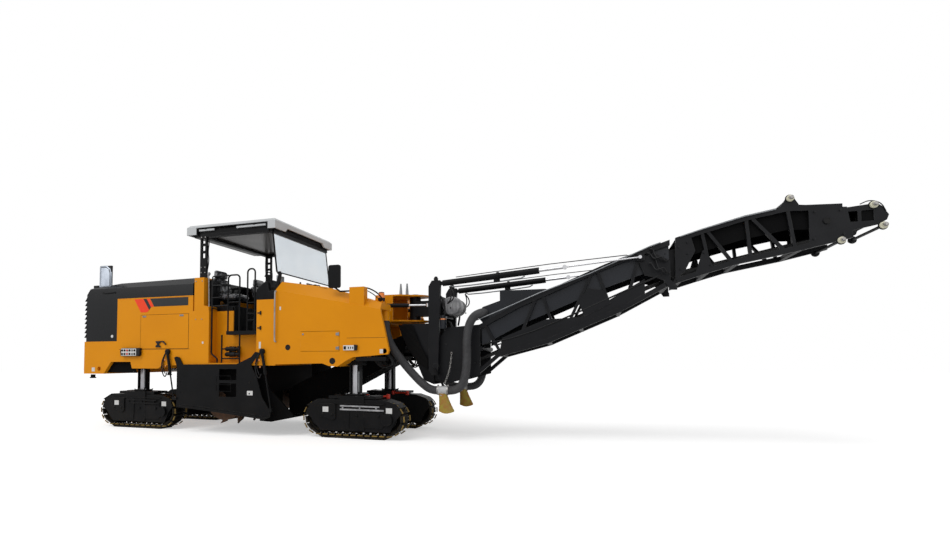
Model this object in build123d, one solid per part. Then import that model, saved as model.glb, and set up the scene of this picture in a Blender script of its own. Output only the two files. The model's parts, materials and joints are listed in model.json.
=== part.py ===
"""Cold planer (road milling machine) on four crawlers, with a slewing, folding front conveyor.

Lengths are millimetres and angles degrees. Stations along the machine are measured from the
front legs' axis, forward positive; heights are measured from the ground. The exported frame has
+X forward, +Y left, +Z up, and its origin on the ground in the middle of the overall length.
"""
import os
from math import atan2, cos, degrees, pi, radians, sin

from build123d import *

# ---------------------------------------------------------------- overall sizes
REAR_OVERHANG = 5920          # rearmost louvre edge, behind the front legs
FRONT_REACH = 7770            # head pulley guard, ahead of the front legs
WHEELBASE = 4720
BODY_WIDTH = 2500
LEG_GAUGE = 1714              # across the two leg axes of one pair
ROOF_TOP = 3950

HALF_WIDTH = BODY_WIDTH / 2
LEG_Y = LEG_GAUGE / 2
ORIGIN_SHIFT_X = (REAR_OVERHANG - FRONT_REACH) / 2   # puts the origin at mid length

# ---------------------------------------------------------------- clearances
SEAT_GAP = 0.3                # between a moving piece and what carries it
SLIDE_GAP = 10                # round a sliding piece inside its housing
SHAFT_GAP = 0.05              # radial, at a running shaft
DOOR_GAP = 6                  # round a door or lid
EDGE = 12                     # body panel thickness
PLATE = 20                    # frame plate thickness

# ---------------------------------------------------------------- legs and crawlers
LEG_ROD_RADIUS = 58
LEG_GUIDE_NEAR = 68           # inner face of a guide bar, from the leg axis
LEG_GUIDE_FAR = 122
LEG_GUIDE_DEPTH = 130
LEG_TOP = 1830
LEG_FOOT = 762
LEG_FLANGE = 30
LEG_RETRACT = 400
LEG_EXTEND = 80
STEER_ANGLE = 20
HOUSING_WALL = 30
HOUSING_TOP = 2270
HOUSING_FOOT_FRONT = 1262
HOUSING_FOOT_REAR = 1178
GLAND_HEIGHT = 50

TRACK_WIDTH = 328
TRACK_BAND = 26
TRACK_BAND_WIDTH = 150
SHOE_COUNT = 32
SHOE_LENGTH = 116
SHOE_HEIGHT = 32
IDLER_X = 655
IDLER_Z = 345
IDLER_RADIUS = 196
ROLLER_X = 545
ROLLER_RADIUS = 60
TRACK_LOW = SHOE_HEIGHT + TRACK_BAND
CRAWLER_SKIN = 12
CRAWLER_SIDE_GAP = 9
YOKE_LENGTH = 880
YOKE_TOP = LEG_FOOT - LEG_FLANGE - SEAT_GAP
YOKE_THICKNESS = 46
CHEEK_HALF = 235
CHEEK_LOW = 150

# ---------------------------------------------------------------- milling drum
DRUM_X = -2650
DRUM_Z = 640
DRUM_WIDTH = 1990
DRUM_RADIUS = 415
DRUM_WALL = 60
PICK_RADIUS = 510
PICK_COUNT = 84
PICK_TURN = 47
PICK_WIDTH = 42
DRUM_SHAFT_RADIUS = 120
DRUM_SIDE_GAP = 65            # between the drum's end and the housing's cheek
DRUM_CHEEK_Y = DRUM_WIDTH / 2 + DRUM_SIDE_GAP
DRUM_CHEEK_THICKNESS = 40

# ---------------------------------------------------------------- body stations and heights
BODY_FLOOR = 1255
HOOD_FRONT = -3200
HOOD_REAR_STEP = -5050
HOOD_SILL = 2580
HOOD_TOP = 2930
REAR_STEP_Z = 1730
ENGINE_FLOOR = 1345
MID_FRONT = -1400
DECK_Z = 1870
DECK_REAR = -2450
SEAT_BASE_Z = 2280
SEAT_Y = 660                  # a seat's middle, from the machine's centre plane
SIDE_PANEL_TOP = 2440         # panel that rises beside the console
FRONT_WALL = 280
TUNNEL_HALF = 660
TUNNEL_TOP = 2020
RECESS_HALF = 1190
RECESS_TOP = 2205

# ---------------------------------------------------------------- canopy
CANOPY_DROP = 550
MAST_X = -3060
MAST_Y = 1125
MAST_LENGTH = 150
MAST_THICKNESS = 46
MAST_FOOT = 2120
SLEEVE_WALL = 14
SLEEVE_TOP = 2910
SLEEVE_GRIP = 230             # sleeve's length down the body's side
SLEEVE_FOOT = SEAT_BASE_Z - SLEEVE_GRIP
ROOF_REAR = -3450
ROOF_FRONT = -1480
ROOF_HALF = 1154
ROOF_THICKNESS = 190
ROOF_SKIN = 30
ROOF_SIDE_CUT = (-3230, -1640)   # open length of each side skirt
ROOF_BAND = 60                # skirt left above it
ROOF_RIB = 30                 # upright ribs that carry the tray
ROOF_RIM_CHAMFER = 45
ROOF_NOTCH_HALF = 780
ROOF_NOTCH_DEPTH = 72
MAST_SLOTS = (460, 320, 180)  # foot of each slot, below the roof
MAST_SLOT = (76, 95)

# ---------------------------------------------------------------- conveyor pivots
SLEW_X = 820
SLEW_RANGE = 30
BRACKET_LOW = 2045
BRACKET_HIGH = 2530
BRACKET_PLATE = 25
BRACKET_HALF = 430
BRACKET_WALL_FRONT = 530
CYLINDER_BAY_HALF = 700
BRACKET_NOSE = 280
SLEW_PIN_RADIUS = 70
HUB_RADIUS = 105
UPRIGHT_REAR = 1260
UPRIGHT_FRONT = 1420
UPRIGHT_NEAR = 550
UPRIGHT_THICKNESS = 80
UPRIGHT_FOOT = 1090
UPRIGHT_TOP = 2600
BOOM_PIVOT_X = 1380
BOOM_PIVOT_Z = 1250
BOOM_PIN_RADIUS = 45
BOOM_LOWER = 18
BOOM_RAISE = 10
BOOM_HALF = 505
CHORD_WIDTH = 70
CHORD_HEIGHT = 80
FOLD_X = 5100
FOLD_Z = 2452
FOLD_ANGLE = 150
FOLD_PIN_RADIUS = 30
LIFT_FOOT = (1400, 2660)
LIFT_LUG = (4640, 2925)
LIFT_Y = 590
LIFT_BARREL_RADIUS = 52
LIFT_ROD_RADIUS = 24
LIFT_ROPE_RADIUS = 9
THIMBLE_HALF = 30
SLEW_CYLINDER_Y = 600
SLEW_CYLINDER_Z = 2320
SLEW_FOOT_X = 310
SLEW_EYE = (1180, 400)
SLEW_BARREL_LENGTH = 560
SLEW_ROD_START = 300          # rod's inner end, from the barrel's foot
SLEW_ROD_END = 45             # bottom of the barrel's bore
SLEW_LUG_REAR = 38            # from the eye back to the ears' edge
SLEW_LUG_HALF = 40

# ---------------------------------------------------------------- dust hoses
HOSE_RADIUS = 68
OUTLET = (530, 800, 2030)     # mouth of the body's dust outlet: x, half gauge, z

# ---------------------------------------------------------------- lashing eyes
LASH_RADIUS = 45
LASH_REAR = (-5500, 1180)
LASH_FRONT = (680, 1500)


# ================================================================ shape helpers
def block(x, y, z):
    """Box between the low and high value of each axis."""
    size = [high - low for low, high in (x, y, z)]
    middle = [(low + high) / 2 for low, high in (x, y, z)]
    return Pos(*middle) * Box(*size)


def side_profile(points, y_low, y_high):
    """Extrude a closed outline of (x, z) points between two widths."""
    face = Plane.XZ * make_face(Polyline(*points, close=True))
    return Pos(0, y_high, 0) * extrude(face, amount=y_high - y_low)


def front_profile(points, x_low, x_high):
    """Extrude a closed outline of (y, z) points between two stations."""
    face = Plane.YZ * make_face(Polyline(*points, close=True))
    return Pos(x_low, 0, 0) * extrude(face, amount=x_high - x_low)


def plan_profile(points, z_low, z_high):
    """Extrude a closed outline of (x, y) points between two heights."""
    face = make_face(Polyline(*points, close=True))
    return Pos(0, 0, z_low) * extrude(face, amount=z_high - z_low)


def between(start, end, side=(0, 1, 0)):
    """Plane at start whose normal points at end."""
    start, end = Vector(*start), Vector(*end)
    along = end - start
    if along.cross(Vector(*side)).length < 1:
        side = (1, 0, 0)
    return Plane(origin=start, z_dir=along, x_dir=side), along.length


def beam(start, end, width, height, side=(0, 1, 0)):
    """Rectangular bar between two points; width lies along side."""
    plane, length = between(start, end, side)
    return plane * Box(width, height, length, align=(Align.CENTER, Align.CENTER, Align.MIN))


def rod(start, end, radius, side=(0, 1, 0)):
    """Round bar between two points."""
    plane, length = between(start, end, side)
    return plane * Cylinder(radius, length, align=(Align.CENTER, Align.CENTER, Align.MIN))


def cross_bar(x, z, half, radius):
    """Round bar across the machine."""
    return rod((x, -half, z), (x, half, z), radius, side=(1, 0, 0))


def y_rod(x, z, y_low, y_high, radius):
    """Round bar across the machine between two widths."""
    return rod((x, y_low, z), (x, y_high, z), radius, side=(1, 0, 0))


def flip(shape):
    """Left-hand copy of a right-hand piece, or the other way round."""
    return mirror(shape, Plane.XZ)


def pair(shape):
    """A piece and its mirror image as one group."""
    return Compound(shape.solids() + flip(shape).solids())


def group(*shapes):
    """Separate solids kept together under one name."""
    return Compound([solid for shape in shapes for solid in shape.solids()])


def point_along(start, end, distance):
    """Point at a distance from start on the line to end, in the x-z plane."""
    angle = atan2(end[1] - start[1], end[0] - start[0])
    return (start[0] + distance * cos(angle), start[1] + distance * sin(angle))


def strip(points, y_low, y_high, height):
    """Bent flat bar that follows a line of (x, z) points."""
    lower = [(x, z - height / 2) for x, z in points]
    upper = [(x, z + height / 2) for x, z in reversed(points)]
    return side_profile(lower + upper, y_low, y_high)


# ================================================================ crawlers and legs
def track_outline(offset):
    """Closed outline round idlers and end rollers, offset outwards from their treads."""
    ends = [Pos(side * IDLER_X, IDLER_Z) * Circle(IDLER_RADIUS + offset) for side in (-1, 1)]
    feet = [
        Pos(side * ROLLER_X, TRACK_LOW + ROLLER_RADIUS) * Circle(ROLLER_RADIUS + offset)
        for side in (-1, 1)
    ]
    edges = [edge for circle in ends + feet for edge in circle.edges()]
    return make_hull(edges)


def make_track():
    """Chain band with flat shoes all round, cut level with the ground."""
    band_face = track_outline(TRACK_BAND) - track_outline(0)
    band = Plane.XZ * extrude(band_face, amount=TRACK_BAND_WIDTH / 2, both=True)
    path = track_outline(TRACK_BAND).face().outer_wire()
    shoes = []
    for index in range(SHOE_COUNT):
        share = (index + 0.5) / SHOE_COUNT
        point = path.position_at(share)
        tangent = path.tangent_at(share)
        shoe = Rectangle(SHOE_LENGTH, SHOE_HEIGHT + 2)
        outward = Vector(tangent.Y, -tangent.X, 0)
        if (point - Vector(0, IDLER_Z, 0)).dot(outward) < 0:
            outward = outward * -1
        centre = point + outward * (SHOE_HEIGHT / 2 - 1)
        angle = degrees(atan2(tangent.Y, tangent.X))
        shoes.append(Pos(centre.X, centre.Y) * Rot(0, 0, angle) * shoe)
    shoe_solids = [
        Plane.XZ * extrude(shoe, amount=TRACK_WIDTH / 2, both=True) for shoe in shoes
    ]
    track = band + shoe_solids
    return track - block((-1500, 1500), (-500, 500), (-200, 0))


GUARD_OUTLINE = [  # x, z of a crawler's side cover
    (-880, 420), (-820, 570), (-620, 672), (560, 672), (790, 610), (900, 450),
    (800, 330), (700, 130), (-600, 130), (-770, 330),
]
GUARD_ROOF = [  # x, z along the cover over the upper run
    (-870, 560), (-660, 672), (600, 672), (800, 610), (870, 545),
]


def make_crawler():
    """Crawler frame: side covers, roof cover, yoke, idler and sprocket on their axles."""
    inner = TRACK_WIDTH / 2 + CRAWLER_SIDE_GAP
    outer = inner + CRAWLER_SKIN
    side = side_profile(GUARD_OUTLINE, inner, outer)
    roof_low = [(x * 0.985, z - CRAWLER_SKIN) for x, z in reversed(GUARD_ROOF)]
    roof = side_profile(GUARD_ROOF + roof_low, -outer, outer)
    yoke = block((-YOKE_LENGTH / 2, YOKE_LENGTH / 2), (-outer, outer),
                 (YOKE_TOP - YOKE_THICKNESS, YOKE_TOP))
    rib = block((-CHEEK_HALF, CHEEK_HALF), (outer, outer + 18), (CHEEK_LOW, YOKE_TOP))
    core = block((-IDLER_X + 215, IDLER_X - 215), (-TRACK_BAND_WIDTH / 2, TRACK_BAND_WIDTH / 2),
                 (170, 480))
    wheels = [y_rod(x, IDLER_Z, -70, 70, IDLER_RADIUS - 1) for x in (-IDLER_X, IDLER_X)]
    axles = [y_rod(x, IDLER_Z, -inner - 2, inner + 2, 60) for x in (-IDLER_X, IDLER_X)]
    struts = [block((x - 40, x + 40), (-inner - 2, inner + 2), (260, 400)) for x in (-330, 0, 330)]
    motor = y_rod(IDLER_X, IDLER_Z, -outer - 46, -outer, 95)
    return side + [flip(side), roof, yoke, rib, flip(rib), core, motor] + wheels + axles + struts


def make_leg(height_foot):
    """Chromed lift rod between two guide bars on a round steering flange."""
    chrome = Pos(0, 0, LEG_FOOT) * Cylinder(
        LEG_ROD_RADIUS, LEG_TOP - LEG_FOOT, align=(Align.CENTER, Align.CENTER, Align.MIN))
    flange = Pos(0, 0, height_foot) * Cylinder(
        170, LEG_FLANGE, align=(Align.CENTER, Align.CENTER, Align.MIN))
    flange = flange & block((-170, 170), (-120, 120), (0, 3000))
    guide = block((LEG_GUIDE_NEAR, LEG_GUIDE_FAR), (-LEG_GUIDE_DEPTH / 2, LEG_GUIDE_DEPTH / 2),
                  (LEG_FOOT - 2, LEG_TOP))
    return chrome + [flange, guide, mirror(guide, Plane.YZ)]


def make_leg_housing(foot):
    """Box tube that the leg slides in, with a close-fitting gland plate at its mouth."""
    half_x = LEG_GUIDE_FAR + SLIDE_GAP
    half_y = LEG_GUIDE_DEPTH / 2 + SLIDE_GAP
    shell = block((-half_x - HOUSING_WALL, half_x + HOUSING_WALL),
                  (-half_y - HOUSING_WALL, half_y + HOUSING_WALL), (foot, HOUSING_TOP))
    bore = block((-half_x, half_x), (-half_y, half_y), (foot + GLAND_HEIGHT, HOUSING_TOP - EDGE))
    reach_x = LEG_GUIDE_FAR + SEAT_GAP
    reach_y = LEG_GUIDE_DEPTH / 2 + SEAT_GAP
    mouth = block((-reach_x, reach_x), (-reach_y, reach_y), (foot - 1, foot + GLAND_HEIGHT + 1))
    return shell - bore - mouth


def housing_core(foot):
    """Outer envelope of a leg housing, used to cut the body round it."""
    half_x = LEG_GUIDE_FAR + SLIDE_GAP + HOUSING_WALL
    half_y = LEG_GUIDE_DEPTH / 2 + SLIDE_GAP + HOUSING_WALL
    return block((-half_x, half_x), (-half_y, half_y), (foot - 300, HOUSING_TOP))


LEGS = [  # name, station, side, housing foot
    ("front_right", 0, -1, HOUSING_FOOT_FRONT),
    ("front_left", 0, 1, HOUSING_FOOT_FRONT),
    ("rear_right", -WHEELBASE, -1, HOUSING_FOOT_REAR),
    ("rear_left", -WHEELBASE, 1, HOUSING_FOOT_REAR),
]


# ================================================================ body
REAR_OUTLINE = [  # x, z of the rear hull's side
    (-5905, 1080), (-5380, 1080), (-5190, 1320), (-4690, 1320), (-4650, 1190), (-4000, 1190),
    (-3910, BODY_FLOOR), (HOOD_FRONT, BODY_FLOOR), (HOOD_FRONT, HOOD_SILL),
    (HOOD_REAR_STEP, HOOD_SILL), (HOOD_REAR_STEP, REAR_STEP_Z), (-5905, REAR_STEP_Z),
]
DOOR_X = (-4455, -3290)
DOOR_Z = (1570, 2240)
HATCH_X = (-890, -140)
HATCH_Z = (1500, 1850)


def make_rear_body():
    """Rear hull, open on top under the hood, with a doorway in each side."""
    hull = side_profile(REAR_OUTLINE, -HALF_WIDTH, HALF_WIDTH)
    bay = block((-5905 + EDGE, HOOD_FRONT - EDGE), (-HALF_WIDTH + EDGE, HALF_WIDTH - EDGE),
                (ENGINE_FLOOR, HOOD_SILL + 10))
    doorway = block(DOOR_X, (-HALF_WIDTH - 1, HALF_WIDTH + 1), DOOR_Z)
    hull = hull - bay - doorway
    for side in (-1, 1):
        hull = hull - Pos(-WHEELBASE, side * LEG_Y, 0) * housing_core(HOUSING_FOOT_REAR)
        eye = y_rod(LASH_REAR[0], LASH_REAR[1], side * HALF_WIDTH - 60, side * HALF_WIDTH + 60,
                    LASH_RADIUS)
        hull = hull - eye
    return hull


def hood_envelope(inset):
    """Hood form, moved inwards by inset on every skin."""
    side = [
        (-5865 + inset, REAR_STEP_Z - inset), (-5865 + inset, 2690 - inset / 2),
        (-5770 + inset / 2, 2815 - inset), (-5060, 2905 - inset), (HOOD_FRONT - inset, 2930 - inset),
        (HOOD_FRONT - inset, HOOD_SILL - inset), (HOOD_REAR_STEP - inset, HOOD_SILL - inset),
        (HOOD_REAR_STEP - inset, REAR_STEP_Z - inset),
    ]
    half = HALF_WIDTH - inset
    cross = [
        (-half, 1000), (-half, 2800 - inset / 2), (-half + 130, HOOD_TOP - inset),
        (half - 130, HOOD_TOP - inset), (half, 2800 - inset / 2), (half, 1000),
    ]
    return side_profile(side, -HALF_WIDTH, HALF_WIDTH) & front_profile(cross, -6000, -3000)


LOUVRE_COUNT = 9
LOUVRE_LOW = 1800
LOUVRE_HIGH = 2640
LOUVRE_HALF = 1120


def make_hood():
    """Engine hood: thin chamfered lid with its rear louvres."""
    lid = hood_envelope(0) - hood_envelope(EDGE)
    lid = lid - block((-5900, -5840), (-LOUVRE_HALF, LOUVRE_HALF), (LOUVRE_LOW, LOUVRE_HIGH))
    pitch = (LOUVRE_HIGH - LOUVRE_LOW) / LOUVRE_COUNT
    fins = []
    for index in range(LOUVRE_COUNT):
        z = LOUVRE_LOW + (index + 0.5) * pitch
        fins.append(side_profile([(-5855, z + 45), (-5862, z + 45), (-5920, z - 35), (-5912, z - 35),
                                  (-5862, z + 33), (-5855, z + 33)], -HALF_WIDTH, HALF_WIDTH))
    return lid + fins


def make_door(x_range, z_range, y_outer):
    """Flat right-hand door leaf, hinged on its rear edge, with a running gap on the others."""
    return block((x_range[0] + SEAT_GAP, x_range[1] - DOOR_GAP), (y_outer, y_outer + EDGE),
                 (z_range[0] + DOOR_GAP, z_range[1] - DOOR_GAP))


MID_OUTLINE = [  # x, z of the body under the operator's platform
    (HOOD_FRONT, BODY_FLOOR), (MID_FRONT, BODY_FLOOR), (MID_FRONT, DECK_Z), (DECK_REAR, DECK_Z),
    (DECK_REAR, SEAT_BASE_Z), (HOOD_FRONT, SEAT_BASE_Z),
]
LADDER_WELL_X = (-2830, -1790)
LADDER_WELL_Y = 1020


def make_mid_body():
    """Hollow body under the platform, with a ladder well in each side and the mast sleeves."""
    body = side_profile(MID_OUTLINE, -HALF_WIDTH, HALF_WIDTH)
    for side in (-1, 1):
        low, high = sorted((side * LADDER_WELL_Y, side * (HALF_WIDTH + 1)))
        body = body - block(LADDER_WELL_X, (low, high), (BODY_FLOOR + 45, SEAT_BASE_Z + 1))
    inner = LADDER_WELL_Y - EDGE
    body = body - block((HOOD_FRONT + EDGE, MID_FRONT - EDGE), (-inner, inner),
                        (BODY_FLOOR + EDGE, DECK_Z - EDGE))
    body = body - block((HOOD_FRONT + EDGE, DECK_REAR - EDGE), (-inner, inner),
                        (DECK_Z - EDGE - 1, SEAT_BASE_Z - EDGE))
    for side in (-1, 1):
        low, high = sorted((side * inner, side * (HALF_WIDTH - EDGE)))
        body = body - block((HOOD_FRONT + EDGE, LADDER_WELL_X[0] - EDGE), (low, high),
                            (BODY_FLOOR + EDGE, SEAT_BASE_Z - EDGE))
        body = body - block((LADDER_WELL_X[1] + EDGE, MID_FRONT - EDGE), (low, high),
                            (BODY_FLOOR + EDGE, DECK_Z - EDGE))
    for side in (-1, 1):
        low, high = sorted((side * (HALF_WIDTH - EDGE), side * HALF_WIDTH))
        body = body + block((LADDER_WELL_X[1], MID_FRONT), (low, high),
                            (DECK_Z - EDGE, SIDE_PANEL_TOP))
    half_x = MAST_LENGTH / 2 + SEAT_GAP
    half_y = MAST_THICKNESS / 2 + SEAT_GAP
    wall_x = half_x + SLEEVE_WALL + 20
    wall_y = HALF_WIDTH - MAST_Y
    for side in (-1, 1):
        centre = Pos(MAST_X, side * MAST_Y, 0)
        sleeve = block((-wall_x, wall_x), (-wall_y, wall_y), (SLEEVE_FOOT, SLEEVE_TOP))
        foot = side_profile([(wall_x - 1, SLEEVE_FOOT), (wall_x - 1, SLEEVE_FOOT + 330),
                             (wall_x + 110, SLEEVE_FOOT + 300), (wall_x + 110, SLEEVE_FOOT + 240)],
                            -wall_y, wall_y)
        body = body + [centre * sleeve, centre * foot]
        body = body - centre * block((-half_x, half_x), (-half_y, half_y),
                                     (SLEEVE_FOOT - 100, SLEEVE_TOP + 10))
    return body


FRONT_OUTLINE = [  # x, z of the front body's side
    (MID_FRONT, 1275), (-470, 1295), (-335, 1250), (-180, 1240), (20, 1360), (115, 1400),
    (740, 1446), (764, 1510), (645, 2030), (580, 2320), (-530, 2650), (MID_FRONT, 2780),
]
CHAMFER_EDGE = [  # station, height of the sloped top corner's outer edge
    (-1410, 2606), (800, 2155),
]
CHAMFER_CEILING = 3000
CHAMFER_SLOPE = 0.8


def chamfer_cut(side):
    """Wedge that slopes the front body's top corner."""
    faces = []
    for x, z_edge in CHAMFER_EDGE:
        reach = (CHAMFER_CEILING - z_edge) / CHAMFER_SLOPE
        outline = [(side * HALF_WIDTH, z_edge), (side * HALF_WIDTH, CHAMFER_CEILING),
                   (side * (HALF_WIDTH - reach), CHAMFER_CEILING)]
        faces.append(Pos(x, 0, 0) * (Plane.YZ * make_face(Polyline(*outline, close=True))))
    return loft(faces, ruled=True)


def make_front_body():
    """Hollow front body over the primary conveyor's tunnel, open in front below its deck."""
    outer = side_profile(FRONT_OUTLINE, -HALF_WIDTH, HALF_WIDTH)
    outer = outer - [chamfer_cut(-1), chamfer_cut(1)]
    tunnel = block((MID_FRONT - 5, 1000), (-TUNNEL_HALF, TUNNEL_HALF), (1000, TUNNEL_TOP))
    recess = block((FRONT_WALL, 1000), (-RECESS_HALF, RECESS_HALF), (1000, RECESS_TOP))
    bracket_seat = block((FRONT_WALL - 90, 1000), (-BRACKET_HALF, BRACKET_HALF), (TUNNEL_TOP, 3000))
    bay = block((FRONT_WALL - 30, 1000), (-CYLINDER_BAY_HALF, CYLINDER_BAY_HALF),
                (TUNNEL_TOP, 3000))
    outer = outer - [tunnel, recess, bracket_seat, bay]
    wall = EDGE
    rear = MID_FRONT + wall
    upper = side_profile([(rear, TUNNEL_TOP + wall), (FRONT_WALL - 90 - wall, TUNNEL_TOP + wall),
                          (FRONT_WALL - 90 - wall, 2370), (-530, 2628), (rear, 2755)], -1010, 1010)
    outer = outer - upper
    for side in (-1, 1):
        low, high = sorted((side * (TUNNEL_HALF + wall), side * (HALF_WIDTH - wall)))
        outer = outer - block((rear, FRONT_WALL - wall), (low, high), (1410, 2150))
        outer = outer - Pos(0, side * LEG_Y, 0) * housing_core(HOUSING_FOOT_FRONT)
        low, high = sorted((side * (HALF_WIDTH - 2 * wall), side * (HALF_WIDTH + 1)))
        outer = outer - block(HATCH_X, (low, high), HATCH_Z)
        outer = outer - y_rod(LASH_FRONT[0], LASH_FRONT[1], side * HALF_WIDTH - 80,
                              side * HALF_WIDTH + 80, LASH_RADIUS)
        outer = outer + Pos(OUTLET[0], side * OUTLET[1], OUTLET[2]) * Cylinder(
            HOSE_RADIUS + 8, RECESS_TOP + 1 - OUTLET[2],
            align=(Align.CENTER, Align.CENTER, Align.MIN))
        low, high = sorted((side * MIRROR_BOX[2], side * MIRROR_BOX[3]))
        outer = outer + block(MIRROR_BOX[:2], (low, high), MIRROR_BOX[4:])
        low, high = sorted((side * (BEACON[1] - 50), side * (BEACON[1] + 50)))
        outer = outer + block((BEACON[0] - 60, BEACON[0] + 60), (low, high), (2300, BEACON[2]))
    return outer


MIRROR_BOX = (40, 310, 1090, 1240, 2230, 2590)  # x range, y range, z range of the mirror's foot
BEACON = (480, 860, 2375)     # x, half gauge, z of a beacon's base


def make_platform():
    """Black deck plate with side steps, seat base and front toe board."""
    deck = block((DECK_REAR, MID_FRONT - 5), (-LADDER_WELL_Y, LADDER_WELL_Y), (DECK_Z, DECK_Z + 16))
    step = block((DECK_REAR, -1810), (LADDER_WELL_Y, HALF_WIDTH - 12), (DECK_Z - 50, DECK_Z + 16))
    base = block((-3010, DECK_REAR - 30), (-1000, 1000), (SEAT_BASE_Z, SEAT_BASE_Z + 90))
    riser = block((DECK_REAR, DECK_REAR + 14), (-1000, 1000), (DECK_Z + 15, SEAT_BASE_Z + 90))
    lip = block((DECK_REAR - 31, DECK_REAR + 14), (-1000, 1000), (SEAT_BASE_Z + 76, SEAT_BASE_Z + 90))
    return deck + [step, flip(step), base, riser, lip]


CONSOLE_HALF = 1000
KNEE_HALF = 700


def make_seat(y):
    """Operator's seat on its pedestal: cushion, backrest, headrest and armrests."""
    top = SEAT_BASE_Z + 90
    pedestal = block((-2900, -2620), (y - 130, y + 130), (top, top + 150))
    cushion = side_profile([(-2990, top + 150), (-2500, top + 150), (-2480, top + 230),
                            (-2520, top + 275), (-2960, top + 260)], y - 235, y + 235)
    back = side_profile([(-2990, top + 200), (-2900, top + 240), (-2990, top + 590),
                         (-3030, top + 600), (-3090, top + 580)], y - 225, y + 225)
    head = side_profile([(-2975, top + 560), (-2960, top + 700), (-3000, top + 770),
                         (-3070, top + 770), (-3085, top + 580)], y - 140, y + 140)
    arms = [block((-2960, -2600), (y + s * 265 - 30, y + s * 265 + 30), (top + 400, top + 440))
            for s in (-1, 1)]
    posts = [block((-2940, -2890), (y + s * 245 - 20, y + s * 245 + 20), (top + 210, top + 410))
             for s in (-1, 1)]
    return pedestal + [cushion, back, head] + arms + posts


CONSOLE = [  # x, z of the control desk's side
    (-1960, DECK_Z + 16), (-1660, DECK_Z + 16), (-1640, 2700), (-1700, 2840), (-1900, 2720),
    (-1950, 2560),
]
CONSOLE_HOLLOW = [
    (-1945, DECK_Z + 28), (-1672, DECK_Z + 28), (-1652, 2695), (-1705, 2822), (-1890, 2710),
    (-1938, 2555),
]


def make_console():
    """Hollow control desk across the front of the platform, with a recess for the knees."""
    desk = side_profile(CONSOLE, -CONSOLE_HALF, CONSOLE_HALF) - side_profile(
        CONSOLE_HOLLOW, -CONSOLE_HALF + EDGE, CONSOLE_HALF - EDGE)
    x_back, z_top = -1800, 2400
    lining = block((-1955, x_back + EDGE), (-KNEE_HALF - EDGE, KNEE_HALF + EDGE),
                   (DECK_Z + 16, z_top + EDGE))
    knee = block((-1990, x_back), (-KNEE_HALF, KNEE_HALF), (DECK_Z + 10, z_top))
    return desk + lining - knee


RAIL_RADIUS = 15
RUNG_RADIUS = 12


def pipe(points, radius, bend):
    """Round tube that follows straight runs joined by equal bends."""
    path = FilletPolyline(*points, radius=bend) if len(points) > 2 else Polyline(*points)
    start = path @ 0
    plane = Plane(origin=start, z_dir=path % 0)
    return sweep(plane * Circle(radius), path=path)


def make_ladder():
    """Right-hand boarding ladder, guard rail and grab rails."""
    y = -(HALF_WIDTH - 34)
    wall = -(LADDER_WELL_Y + 8)
    sill = BODY_FLOOR + 45 + SEAT_GAP
    deck = DECK_Z + 16 + SEAT_GAP
    pieces = [
        pipe([(-2430, y, deck), (-2430, y, 2925), (-2180, y, 2925), (-2180, y, deck)],
             RAIL_RADIUS, 70),
        pipe([(-2010, y, deck), (-2010, y, 3020), (-1850, y, 3020), (-1850, y, deck)],
             RAIL_RADIUS, 70),
        pipe([(-2790, y, 2330), (-2790, y, 1470), (-2660, y, 1380), (-2660, y, sill)],
             RAIL_RADIUS, 60),
        rod((-2560, y, DECK_Z - 50 - SEAT_GAP), (-2560, y, sill), RAIL_RADIUS),
        rod((-2170, y, DECK_Z - 50 - SEAT_GAP), (-2170, y, sill), RAIL_RADIUS),
        rod((-2560, y, 1560), (-2170, y, 1560), RUNG_RADIUS),
        rod((-2560, y, 1380), (-2170, y, 1380), RUNG_RADIUS),
        rod((-2430, y, 2420), (-2180, y, 2420), RUNG_RADIUS),
        rod((-2790, y, 2320), (-2790, wall, 2320), RUNG_RADIUS),
    ]
    for z in (2080, 2200, 2400):
        pieces.append(rod((-2010, y, z), (-1850, y, z), RUNG_RADIUS))
    return pieces[0] + pieces[1:]


# ================================================================ canopy
def make_canopy_frame():
    """Slotted masts, roof ribs and the windshield's frame."""
    mast = block((-MAST_LENGTH / 2, MAST_LENGTH / 2), (-MAST_THICKNESS / 2, MAST_THICKNESS / 2),
                 (MAST_FOOT, ROOF_TOP - ROOF_THICKNESS))
    under = ROOF_TOP - ROOF_THICKNESS
    width, height = MAST_SLOT
    for drop in MAST_SLOTS:
        mast = mast - block((-width / 2, width / 2), (-MAST_THICKNESS, MAST_THICKNESS),
                            (under - drop, under - drop + height))
    right_mast = Pos(MAST_X, -MAST_Y, 0) * mast
    arm = block((MAST_X - 75, ROOF_FRONT - 140), (-MAST_Y - 23, -MAST_Y + 90), (under - 60, under))
    cross_rear = block((MAST_X - 75, MAST_X + 25), (-MAST_Y, MAST_Y), (under - 60, under))
    cross_front = block((ROOF_FRONT - 190, ROOF_FRONT - 100), (-MAST_Y, MAST_Y), (under - 60, under))
    rib_half = ROOF_HALF - ROOF_SKIN - ROOF_RIM_CHAMFER - DOOR_GAP
    ribs = [
        block((x, x + ROOF_RIB), (-rib_half, rib_half), (under - 1, ROOF_TOP - ROOF_SKIN))
        for x in (MAST_X - 75, ROOF_FRONT - 150)
    ]
    return right_mast + [flip(right_mast), arm, flip(arm), cross_rear, cross_front, *ribs]


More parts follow.
